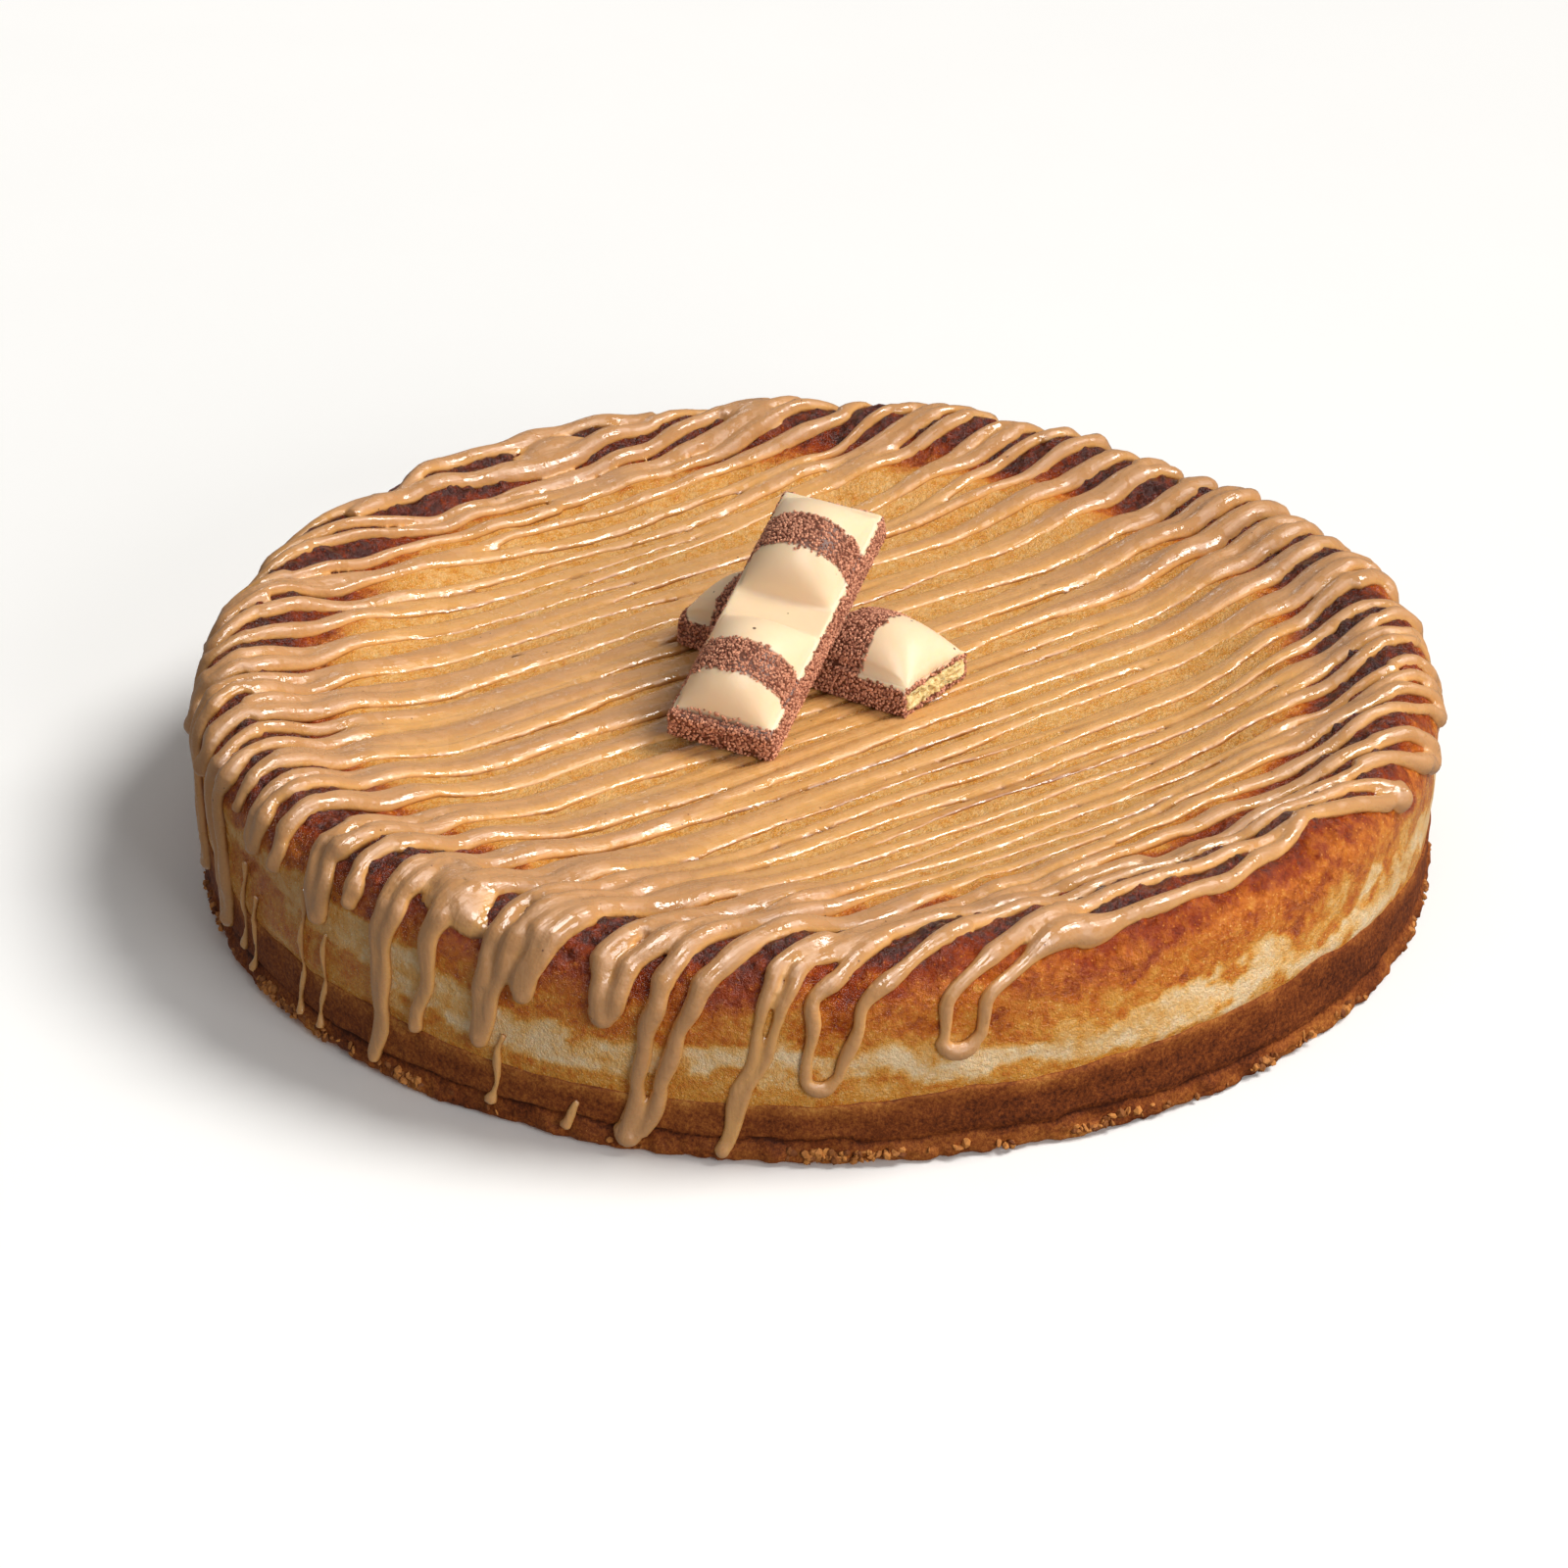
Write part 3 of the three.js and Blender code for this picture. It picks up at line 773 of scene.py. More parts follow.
def cream_finish():
    """Glossy caramel cream with a few fine dark specks, browner where it is thin."""
    material, tree = new_material("caramel_cream")
    turn = (0, 0, -math.radians(STRAND_ANGLE))
    flow = tree_node(tree, "ShaderNodeMapping", {"Vector": place_on(tree), "Rotation": turn})
    along_flow = tree_node(tree, "ShaderNodeVectorMath", {0: flow, 1: (0.06, 1, 0.06)}, operation="MULTIPLY")
    streaks = noise_on(tree, 1.5, 3, 0.6, along_flow)
    thickness = sum_of(tree, value_at(tree, "rise"), (noise_on(tree, 9), 0.15), (streaks, 0.35))
    body = ramp(tree, thickness, (
        (0.0, (150, 92, 40)),
        (0.08, (186, 126, 64)),
        (0.22, (219, 161, 92)),
        (0.42, (221, 164, 97)),
        (0.6, (207, 152, 95)),
        (0.85, (198, 145, 94)),
    ))
    speck = ramp(tree, cells_on(tree, 5), ((0.03, 1), (0.05, 0)))
    relief = sum_of(tree, noise_on(tree, 2.6), (streaks, 0.9))
    return dressed(material, {
        "Base Color": mixed(tree, speck, body, tone(110, 62, 30)),
        "Roughness": ramp(tree, noise_on(tree, 4, 2), ((0.43, 0.1), (0.54, 0.45))),
        "Normal": bump(tree, relief, 0.5, 0.6),
        "Subsurface Weight": 0.15,
        "Subsurface Scale": 0.002,
        "Subsurface Radius": (1.0, 0.55, 0.25),
        "Specular IOR Level": 0.7,
    })


def biscuit_finish():
    """Pressed biscuit crumb, lighter and looser at its foot, with painted shade in the groove and on the lit
    and shaded sides.
    """
    material, tree = new_material("pressed_biscuit")
    grain = noise_on(tree, 0.9, 3, 0.85)
    looseness_and_painted_shade = sum_of(tree, value_at(tree, "looseness_and_painted_shade"), (noise_on(tree, 12), 0.5), (grain, 1.5))
    colours = ((0.0, (68, 27, 9)), (0.35, (124, 60, 23)), (0.7, (166, 96, 40)), (1.0, (202, 136, 64)))
    return dressed(material, {
        "Base Color": ramp(tree, looseness_and_painted_shade, colours),
        "Roughness": 0.65,
        "Normal": bump(tree, grain, 0.4, 0.8),
        "Specular IOR Level": 0.12,
    })


def white_coat_finish():
    """White chocolate, with cocoa under the grains and a few stray specks."""
    material, tree = new_material("white_coat")
    white = mixed(tree, noise_on(tree, 6, 2), tone(251, 220, 184), tone(248, 214, 173))
    speck = ramp(tree, cells_on(tree, 6), ((0.055, 1), (0.07, 0)))
    marked = mixed(tree, speck, white, tone(96, 66, 44))
    return dressed(material, {
        "Base Color": mixed(tree, value_at(tree, "cover"), marked, tone(112, 64, 44)),
        "Roughness": 0.36,
        "Normal": bump(tree, noise_on(tree, 3), 0.15, 0.4),
        "Subsurface Weight": 0.4,
        "Subsurface Scale": 0.004,
        "Subsurface Radius": (1.0, 0.6, 0.3),
        "Specular IOR Level": 0.25,
    })


def grain_finish(name, dark, light, roughness):
    material, tree = new_material(name)
    shade = sum_of(tree, value_at(tree, "grain_shade"), (noise_on(tree, 0.4, 2), 0.5))
    return dressed(material, {
        "Base Color": ramp(tree, shade, ((0.0, dark), (1.0, light))),
        "Roughness": roughness,
        "Normal": bump(tree, noise_on(tree, 0.25, 2), 0.08, 0.6),
        "Specular IOR Level": 0.2,
    })


def wafer_finish():
    """Dry, porous wafer."""
    material, tree = new_material("dry_wafer")
    pores = noise_on(tree, 0.9, 3, 0.7)
    colours = ((0.3, (170, 122, 64)), (0.46, (226, 194, 124)), (0.65, (246, 226, 172)))
    return dressed(material, {
        "Base Color": ramp(tree, pores, colours),
        "Roughness": 0.75,
        "Normal": bump(tree, pores, 0.5, 0.8),
        "Subsurface Weight": 0.1,
        "Subsurface Scale": 0.001,
    })


def floor_finish():
    material, tree = new_material("pale_floor")
    return dressed(material, {
        "Base Color": mixed(tree, noise_on(tree, 60, 2), tone(254, 254, 253), tone(252, 252, 251)),
        "Roughness": 0.9,
        "Specular IOR Level": 0.1,
    })


# The cake


def crumb_line(angle):
    """Height at which the filling meets the biscuit, which wanders round the cake."""
    ring = round_points(CAKE_RADIUS, angle, 0)
    swing = CRUMB_LINE_SWING * np.cos(3 * (angle + math.radians(45)))
    return BASE_HEIGHT + swing * facing(angle, WAVY_SIDE, 0.2, 0.8) + layered_lumps(ring, CRUMB_LINE_LUMPS)


def skin_relief(points, path):
    """Blisters on the rim and gentle swells on the wall and dish."""
    on_rim = smooth_step(path, WALL_LENGTH, CREST_PATH - 5)
    on_rim *= 1 - smooth_step(path, CREST_PATH + 10, CREST_PATH + 22)
    blisters = sum(height * np.abs(lumps(points, *layer)) for height, *layer in RIM_BLISTERS)
    swells = layered_lumps(points, WALL_SWELLS)
    return BLISTER_HEIGHT * on_rim * (blisters - BLISTER_SINK) + (1 - on_rim) * swells


def skin_browning(points, path, angle):
    """How brown the skin is: pale low on the wall, gold on the dish, dark along the rim; with painted light
    and shade.
    """
    shift = layered_lumps(points, BROWNING_SHIFTS)
    shift += FINE_SHIFT * lumps(points, 2.1, 24, 1.8) * (1 - smooth_step(path, *FINE_SHIFT_END))
    # Painted light: the side facing the light is paler, with its browning put off further up the wall
    painted_light_share = facing(angle, LIT_SIDE, 0.3, 1)
    place = path + shift - LIT_SIDE_PAINTED_LIGHT * painted_light_share * smooth_step(path, *LIT_SIDE_PAINTED_LIGHT_START)
    brown = np.interp(place, *zip(*BROWNING_STAGES))
    directions, middles, reaches = zip(*PALE_BAND)
    bearing = wrapped(np.degrees(angle) - 10, 360) + 10
    pale_reach = np.interp(bearing, directions, reaches) - 1.3
    ragged = layered_lumps(points, PALE_EDGE_LUMPS)
    away = np.abs(place - np.interp(bearing, directions, middles)) - 2.4 * lumps(points, 17, 23, 2.2) - ragged
    pale = 1 - smooth_step(away, pale_reach, pale_reach + PALE_EDGE)
    # Painted shade: the pale band is less pale on the side in shade
    pale *= (0.78 + 0.35 * ragged) * (1 - PALE_BAND_PAINTED_SHADE * facing(angle, SHADED_SIDE, 0.1, 0.9))
    spots = smooth_step(lumps(points, 8, 25) + 0.6 * ragged, 0.2, 0.8)
    spots *= 1 - smooth_step(path, *PALE_SPOTS_END)
    lightened = np.maximum(pale, PALE_SPOTS * spots) * smooth_step(path, *PALE_START)
    blotches = smooth_step(lumps(points, 7, 29) + 0.6 * ragged, 0.1, 0.7)
    blotches = BROWN_BLOTCHES * blotches * smooth_step(path, *BLOTCHES_START)
    brown += blotches * (1 - smooth_step(path, *BLOTCHES_END))
    return np.clip(brown - PALENESS * lightened, LEAST_BROWNING, 1)


def cheesecake_body():
    paths = [path for stretch in WALL_AND_RIM_RINGS for path in np.arange(*stretch)]
    counts = [RING_POINTS] * len(paths)
    for inner, step, count in DISH_RINGS:
        while skin_at(paths[-1])[0] > inner:
            paths.append(paths[-1] + step)
            counts.append(count)
    foot = ring_angles(RING_POINTS)
    line = crumb_line(foot)
    rings = [round_points(CAKE_RADIUS - inset, foot, line - below) for inset, below in FILLING_UNDERSIDE]
    browning = [[0.4], np.full(len(rings) * RING_POINTS, 0.42)]
    for path, count in zip(paths, counts):
        angle = ring_angles(count)
        lift = (crumb_line(angle) - BASE_HEIGHT) * max(1 - path / LINE_LIFT_REACH, 0)
        raised = np.column_stack((np.zeros((count, 2)), lift))
        points = skin_points(np.full(count, path), angle, 0) + raised
        proud = skin_relief(points, path + lift) - FOOT_TUCK * math.exp(-path / FOOT_TUCK_REACH)
        points = skin_points(np.full(count, path), angle, proud) + raised
        rings.append(points)
        browning.append(skin_browning(points, path + lift, angle))
    browning = np.concatenate([*browning, [0.36]])
    points, faces = ring_shape(rings, (0, 0, BASE_HEIGHT - 4), (0, 0, DISH_HEIGHT))
    piece = mesh_piece("cheesecake_body", points, faces, BAKED_SKIN, {"browning": browning})
    belongs(piece, "cheesecake", "filling")


def biscuit_base():
    angle = ring_angles(RING_POINTS)
    top = crumb_line(angle)
    rings = []
    looseness_and_painted_shade = [[0.5]]
    for out, height, loose in BISCUIT_PROFILE:
        ring = round_points(out, angle, height)
        roughness = LOOSE_ROUGHNESS if loose > LOOSE_CRUMB else FIRM_ROUGHNESS
        reach = out + layered_lumps(ring, FOOT_LUMPS) * roughness
        rise = layered_lumps(ring, FOOT_RISES) * min(height / 3, 1)
        rings.append(round_points(reach, angle, height + rise))
        looseness_and_painted_shade.append(loose + 0.3 * lumps(ring, 7, 39))
    start = GROOVE_HEIGHT + 2 * GROOVE_DEPTH
    # Painted shade: the pressed crumb is made darker towards the lit side and the shaded side
    pressed_with_painted_shade = WALL_LOOSENESS - LIT_SIDE_PAINTED_SHADE * facing(angle, LIT_SIDE, 0.2, 1)
    pressed_with_painted_shade = pressed_with_painted_shade - SHADED_SIDE_PAINTED_SHADE * facing(angle, SHADED_SIDE, 0.1, 0.9)
    for share in np.linspace(0, 1, 10):
        height = between(start, top, share)
        ring = round_points(BASE_WALL_RADIUS, angle, height)
        reach = BASE_WALL_RADIUS + 0.1 + layered_lumps(ring, BASE_WALL_LUMPS)
        rings.append(round_points(reach, angle, height))
        golden_top = TOP_EDGE_LIGHTER * smooth_step(share, 0.5, 1) * (0.7 + 0.6 * lumps(ring, 4, 45))
        looseness_and_painted_shade.append(pressed_with_painted_shade + 0.08 * lumps(ring, 9, 37, 4) + golden_top)
    for inset, below in BISCUIT_TOP:
        rings.append(round_points(BASE_WALL_RADIUS - inset, angle, top - below))
        looseness_and_painted_shade.append(np.full(RING_POINTS, 0.3))
    looseness_and_painted_shade = np.concatenate([*looseness_and_painted_shade, [0.3]])
    points, faces = ring_shape(rings, (0, 0, 0), (0, 0, BASE_HEIGHT - 0.5))
    piece = mesh_piece("biscuit_base", points, faces, BISCUIT, {"looseness_and_painted_shade": looseness_and_painted_shade})
    belongs(piece, "biscuit", "base")


def foot_crumbs():
    """Loose crumbs that stick to the foot of the base."""
    angle = ring_angles(CRUMB_RING_POINTS)
    rings = [round_points(out, angle, height) for out, height in CRUMB_RINGS]
    points, faces = ring_shape(rings, (0, 0, 1), (0, 0, 3))
    cover = np.clip(layered_lumps(points, CRUMB_PATCHES) - 0.1, 0.03, 1)
    cover[[0, -1]] = 0
    faces = faces[CRUMB_RING_POINTS:-CRUMB_RING_POINTS]
    piece = strewn_grains("foot_crumbs", points, faces, cover, CRUMB, FOOT_CRUMBS)
    belongs(piece, "biscuit", "base")


# The cream


def strand_offset(strand):
    return FRONT_STRAND - STRAND_PITCH * strand + STRAND_SHIFT * scatter(strand, 1)


def turn_path(strand, side):
    """Path at the lowest point of a strand's turn on one side, -1 left and 1 right, or at the line's end."""
    share = (1 + scatter((strand + 1) // 2, 2)) / 2
    height = between(RIGHT_TURN_HIGHEST, RIGHT_TURN_LOWEST, share ** 2)
    if side < 0:
        height = LEFT_TURN_HEIGHTS[strand // 2]
    elif strand in (0, STRAND_COUNT - 1):
        height = FREE_END_HEIGHT
    return path_at_height(height)


def mate_of(strand, side):
    """The strand that one is joined to by the turn on a side."""
    forward = (strand % 2 == 0) == (side < 0)
    mate = strand + 1 if forward else strand - 1
    return mate if 0 <= mate < STRAND_COUNT else None


def pair_scatter(strand, side, use):
    """A fixed number from -1 to 1 that a strand has in common with its mate."""
    mate = mate_of(strand, side)
    return scatter(strand if mate is None else min(strand, mate), use + side)


def bunched_draw(strand, side):
    """How far a strand is drawn sideways at the rim, where strands run together in uneven bunches."""
    offset = strand_offset(strand)
    drawn = 0
    for draw, length, side_phase, phase in BUNCHES:
        drawn += draw * math.sin(offset / length + side_phase * side + phase)
    return drawn * float(smooth_step(RIM_RADIUS - abs(offset), *BUNCH_INSET))


def paired_draw(strand, side):
    """How far a strand is drawn sideways on the dish, where it runs together with its mate."""
    mate = mate_of(strand, side)
    if mate is None:
        return 0
    hold = PAIR_HOLD + PAIR_HOLD_SPREAD * pair_scatter(strand, side, 25)
    return hold * (strand_offset(mate) - strand_offset(strand)) / 2


def run_along(out, offset):
    """How far along its own direction a strand with an offset is, at a distance from the middle."""
    return np.sqrt(np.clip(out * out - offset * offset, 0, None))


def gathered_offset(strand, side, out):
    """Offset of a strand, drawn to its mate on the dish and to its bunch as it comes up to the rim."""
    offset = strand_offset(strand)
    along = run_along(out, offset)
    loosened = 1 - SQUARE_ON_HOLD * smooth_step(along / out, *SQUARE_ON)
    paired = smooth_step(along, *PAIR_ALONG) * (1 - loosened * smooth_step(out, *PAIR_RELEASE))
    bunched = bunched_draw(strand, side) * smooth_step(out, *BUNCHING)
    return offset + paired_draw(strand, side) * paired + bunched


def free_bearing(strand, side, out, path):
    """Direction from the middle of the cake to a strand below the crest, before its mate draws it near."""
    offset = gathered_offset(strand, side, out)
    along = run_along(out, offset)
    drop = np.clip(WALL_LENGTH - path, 0, None)
    skew = 2 * offset * along / (out * out)
    phase = 9 * pair_scatter(strand, side, 5)
    sway = waves(path, phase, DRIP_SWAY) + waves(path, phase, KINK_SWAY) * hill(path, KINK_PATH, KINK_SPREAD)
    lean = side * DRIP_LEAN * skew * drop + sway * smooth_step(CREST_PATH - path, 1, 10)
    return math.radians(STRAND_ANGLE) + np.arctan2(-offset, side * along) + lean / out


def strand_bearing(strand, side, out, path):
    """Direction to a strand below the crest, where it slants towards its mate until their turn."""
    bearing = free_bearing(strand, side, out, path)
    mate = mate_of(strand, side)
    if mate is None:
        return bearing
    apart = wrapped(free_bearing(mate, side, out, path) - bearing)
    drop = np.clip((CREST_PATH - path) / (CREST_PATH - turn_path(strand, side)), 0, 1)
    hold = TURN_HOLD + TURN_HOLD_SPREAD * pair_scatter(strand, side, 3)
    early = 1 - 0.6 * max(pair_scatter(strand, side, 17), 0)
    return bearing + apart / 2 * hold * drop ** early


def pool_swell(points):
    """How much thicker the cream is at each place."""
    swell = np.ones(len(points))
    for across, along, reach, change in CREAM_POOLS:
        swell += change * hill(np.hypot(points[:, 0] - across, points[:, 1] - along), 0, reach)
    return swell


def laid(path, angle, proud, half_width, flatness=1):
    """A run of cream on the skin: points, half width, change of height by squeezing, outward direction."""
    points = skin_points(path, angle, proud)
    squeeze = np.broadcast_to(flatness, len(points)) - 1
    return np.column_stack((points, half_width * pool_swell(points), squeeze, skin_outward(path, angle)))


NO_CREAM = np.empty((0, 8))


def wall_thickness(strand, side, path):
    """Radius of a strand on the shoulder and below it, where it runs thin and uneven."""
    drop = np.clip((CREST_PATH - path) / DRIP_THINNING, 0, 1)
    fullness = 1 + 0.28 * pair_scatter(strand, side, 9) * smooth_step(CREST_PATH - path, 0, 8)
    beads = 1 + waves(path, 8 * scatter(strand, 11 + side), DRIP_BEADS)
    bead_path = KINK_PATH + 3 * pair_scatter(strand, side, 19)
    beads += 0.3 * hill(path, bead_path, BEAD_SPREAD)
    return between(RIM_STRAND_RADIUS, DRIP_RADIUS, drop) * fullness * beads


def dish_half(strand, side):
    """A strand from the middle of the cake to the rim, a flat band on the dish and round at the rim."""
    offset_at_rim = gathered_offset(strand, side, np.array([float(RIM_RADIUS)]))[0]
    reach = math.sqrt(max(RIM_RADIUS ** 2 - offset_at_rim ** 2, 0))
    if reach < SHORTEST_BAND:
        return NO_CREAM
    way = side * np.linspace(0, reach, max(int(reach / BAND_STEP), 3))[:-1]
    phase = 7 * scatter(strand, 7)
    offset = gathered_offset(strand, side, np.hypot(way, strand_offset(strand)))
    offset = offset + waves(way, phase, BAND_WANDER)
    turn = math.radians(STRAND_ANGLE)
    x = way * math.cos(turn) + offset * math.sin(turn)
    y = way * math.sin(turn) - offset * math.cos(turn)
    out = np.hypot(x, y)
    on_dish = 1 - smooth_step(out, *BAND_END)
    half_width = between(RIM_STRAND_RADIUS, BAND_HALF_WIDTH, on_dish)
    half_width *= 1 + 0.16 * scatter(strand, 15) + waves(way, phase, BAND_SPREAD)
    band_height = BAND_HALF_HEIGHT * (1 + 0.22 * scatter(strand, 27) + waves(way, phase, BAND_SWELL))
    flatness = between(RIM_STRAND_RADIUS, band_height, on_dish) / half_width
    sink = between(RIM_STRAND_SINK, BAND_SINK, on_dish)
    return laid(CREST_PATH + RIM_RADIUS - out, np.arctan2(y, x), -sink, half_width, flatness)


def turn_spread(strand, side):
    """Bearing of a strand at its turn, the half angle to its mate, and the path at which the turn starts."""
    low = turn_path(strand, side)
    mate = mate_of(strand, side)
    if mate is None:
        return 0, 0, low
    out = skin_at(low)[0].reshape(1)
    first, second = (strand_bearing(each, side, out, np.array([low]))[0] for each in (strand, mate))
    half = wrapped(second - first) / 2
    return first, half, low + abs(half) * float(out[0])


def front_run():
    """The first stretch of the line, which follows the rim at the front right up to the next strands."""
    share = np.linspace(0, 1, 40)
    start = path_at_radius(FRONT_RUN_RADIUS)
    path = between(start, CREST_PATH, share ** 3) + 0.5 * np.sin(share * 19) * share
    first = strand_bearing(0, -1, np.array([FRONT_RUN_RADIUS]), np.array([start]))[0]
    bearing = between(first, math.radians(FRONT_RUN_END), share)
    return laid(path, bearing, 0, RIM_STRAND_RADIUS * (1 + 0.1 * np.sin(share * 27)))


def back_run():
    """A stretch along the rim at the back, beyond the last strand."""
    share = np.linspace(0, 1, 50)
    path = CREST_PATH - 3 + 5 * share ** 3 + 1.2 * np.sin(share * 17)
    bearing = np.radians(between(*BACK_RUN, share))
    return laid(path, bearing, 0, RIM_STRAND_RADIUS * (1.2 + 0.2 * np.sin(share * 23)))


def wall_half(strand, side):
    """A strand from the rim to the start of its turn."""
    if (strand, side) == (0, 1):
        return front_run()
    bend = turn_spread(strand, side)[2]
    outset = FRONT_RUN_RADIUS if strand == 0 else abs(strand_offset(strand))
    start = min(CREST_PATH, path_at_radius(outset))
    if bend >= start - 0.5:
        return NO_CREAM
    below_crest = start < CREST_PATH
    steps = np.linspace(0, 1, max(int((start - bend) / DRIP_STEP), 24 if below_crest else 3))
    path = start - (start - bend) * (steps ** 2 if below_crest else steps)
    bearing = strand_bearing(strand, side, skin_at(path)[0], path)
    return laid(path, bearing, -RIM_STRAND_SINK, wall_thickness(strand, side, path))


def turn_arc(strand, side):
    """The turn from a strand to its mate, fullest where it hangs lowest."""
    first, half, bend = turn_spread(strand, side)
    sweep = np.linspace(0, math.pi, 11)[1:-1]
    path = between(bend, turn_path(strand, side), np.sin(sweep))
    bearing = first + half * (1 - np.cos(sweep))
    radius = wall_thickness(strand, side, path) * (1 + TURN_BEAD * np.sin(sweep) ** 2)
    return laid(path, bearing, -RIM_STRAND_SINK, radius)


def cream_web(web):
    """A short run along the rim that joins neighbouring strands."""
    bearing, half, inward = CREAM_WEBS[web]
    share = np.linspace(-1, 1, 9)
    path = CREST_PATH + inward + 1.2 * np.sin(3 * share + 5 * scatter(web, 21))
    return laid(path, np.radians(bearing + half * share), -WEB_SINK, WEB_RADIUS - 1.3 * share ** 2)


def cream_string(string):
    """A thin string that has run down the wall, fullest at its end."""
    bearing, top, foot = CREAM_STRINGS[string]
    share = np.linspace(0, 1, 24)
    path = between(path_at_height(top), path_at_height(foot), share)
    phase = 9 * scatter(string, 23)
    angle = np.radians(bearing + STRING_LEAN * share + waves(path, phase, STRING_SWAY))
    radius = STRING_RADIUS * (1 + waves(path, phase, STRING_BEADS) + 0.7 * smooth_step(share, 0.85, 1))
    return laid(path, angle, 0.1, radius)


def cream_line():
    """The whole line: every strand in turn, right to left and back again, with the turns between them."""
    stretches = []
    for strand in range(STRAND_COUNT):
        first = 1 if strand % 2 == 0 else -1
        sides = (first, -first)
        inward, outward = (np.vstack((dish_half(strand, side), wall_half(strand, side))) for side in sides)
        stretches += [inward[::-1], outward[1:]]
        if strand + 1 < STRAND_COUNT:
            stretches.append(turn_arc(strand, -first))
    return np.vstack(stretches)


def caramel_cream():
    runs = [cream_line(), back_run()]
    runs += [cream_web(web) for web in range(len(CREAM_WEBS))]
    runs += [cream_string(string) for string in range(len(CREAM_STRINGS))]
    starts = set(np.cumsum([len(run) for run in runs]).tolist())
    line = np.vstack(runs)
    edges = [(point - 1, point) for point in range(1, len(line)) if point not in starts]
    carrier = mesh_piece("cream_line", line[:, :3], [], CREAM, {
        "thickness": line[:, 3] * MM,
        "squeeze": line[:, 4],
        "middle": line[:, :3] * MM,
        "outward": line[:, 5:],
    }, edges)
    add_tree(carrier, cream_line_tree(), {"Sides": 16, "Cream": CREAM})
    adjusted(carrier.modifiers.new("run_together", "REMESH"), mode="VOXEL", voxel_size=CREAM_VOXEL * MM)
    adjusted(carrier.modifiers.new("softened", "SMOOTH"), iterations=2, factor=0.5)
    cream = plain_piece("caramel_cream", carrier)
    points = mesh_coordinates(cream.data)
    depth, outward = skin_depth(points)
    points += outward * np.clip(depth - CREAM_UNDERSIDE, 0, None)[:, None]
    cream.data.vertices.foreach_set("co", (points * MM).astype(np.float32).ravel())
    cream.data.update()
    triangles = sum(len(face.vertices) - 2 for face in cream.data.polygons)
    adjusted(cream.modifiers.new("thinned", "DECIMATE"), ratio=min(1, CREAM_TRIANGLES / triangles))
    cream = plain_piece("caramel_cream", cream)
    rise = -skin_depth(mesh_coordinates(cream.data))[0]
    store(cream.data, "rise", np.clip(rise / FULL_RISE, 0, 1))
    cream.data.materials.clear()
    cream.data.materials.append(CREAM)
    cream.data.shade_smooth()
    belongs(cream, "caramel_cream", "filling", "base")


# The wafer bars


def hump_rise(along, across, length):
    """Height of a bar's two humps above its tray, with a soft foot."""
    reach = np.clip(abs(abs(along) - HUMP_SPREAD * length) / HUMP_HALF_LENGTH, 0, 1)
    side = np.clip(np.abs(across) / HUMP_HALF_WIDTH, 0, 1)
    dome = (1 - reach ** HUMP_LONG_ROUNDNESS) * (1 - side ** HUMP_CROSS_ROUNDNESS)
    rise = (BAR_HEIGHT - TRAY_HEIGHT + HUMP_FOOT) * dome ** HUMP_FULLNESS
    return rise * rise / (rise + HUMP_FOOT)


def bar_section(length, along, inset, lowered):
    """Outline of a bar across its length, seen from its far end, starting at the lower left."""
    half = BAR_WIDTH / 2 - inset
    foot = np.linspace(-(half - BAR_FOOT_EDGE), half - BAR_FOOT_EDGE, 10)
    wall = np.linspace(BAR_FOOT_EDGE, TRAY_HEIGHT - BAR_EDGE - lowered, 6)
    wall_y = half - BAR_DRAFT * wall / TRAY_HEIGHT
    arc = np.radians(np.linspace(0, 90, 5))[1:]
    edge_y = half - BAR_DRAFT - BAR_EDGE * (1 - np.cos(arc))
    edge_z = TRAY_HEIGHT - lowered - BAR_EDGE * (1 - np.sin(arc))
    top_y = np.linspace(edge_y[-1], -edge_y[-1], 44)[1:-1]
    top_z = TRAY_HEIGHT - lowered + hump_rise(along, top_y, length)
    y = np.concatenate((foot, wall_y, edge_y, top_y, -edge_y[::-1], -wall_y[::-1]))
    z = np.concatenate((np.zeros(len(foot)), wall, edge_z, top_z, edge_z[::-1], wall[::-1]))
    return np.column_stack((np.full(len(y), along), y, z))


def bar_rings(length, broken):
    """Outlines along a bar, drawn in and lowered at both ends or, on the broken bar, at its left end only."""
    half = length / 2
    rounding = []
    for angle in np.radians(np.linspace(0, 90, 6)):
        ease = BAR_EDGE * (1 - math.sin(angle))
        rounding.append((-half + BAR_EDGE * (1 - math.cos(angle)), ease, ease))
    straight_end = half if broken else half - BAR_EDGE
    rows = rounding + [(along, 0, 0) for along in np.linspace(-half + BAR_EDGE, straight_end, 90)[1:]]
    if not broken:
        rows += [(-along, inset, lowered) for along, inset, lowered in rounding[-2::-1]]
    return [bar_section(length, *row) for row in rows]


def bar_cover(points, length, bands):
    """Where cocoa grains cover a bar: its sides and ends, and bands across its humps."""
    x, _, z = points.T
    ragged = layered_lumps(points, COCOA_EDGE_LUMPS)
    over_end = 1.5 * smooth_step(-x, length / 2 - 3, length / 2 - 1)
    cover = z < TRAY_HEIGHT - 0.5 + over_end + 0.7 * ragged
    for middle, half in bands:
        cover |= np.abs(x - middle) < half + 0.9 * ragged
    return cover.astype(float)


def turned(points, place, turn):
    """Points of a bar set down in its place on the cake."""
    yaw, pitch, roll = np.radians(turn)
    about_z = np.array([[math.cos(yaw), -math.sin(yaw), 0], [math.sin(yaw), math.cos(yaw), 0], [0, 0, 1]])
    about_y = np.eye(3)
    about_y[::2, ::2] = [[math.cos(pitch), -math.sin(pitch)], [math.sin(pitch), math.cos(pitch)]]
    about_x = np.array([[1, 0, 0], [0, math.cos(roll), -math.sin(roll)], [0, math.sin(roll), math.cos(roll)]])
    return points @ (about_z @ about_y @ about_x).T + np.array(place)


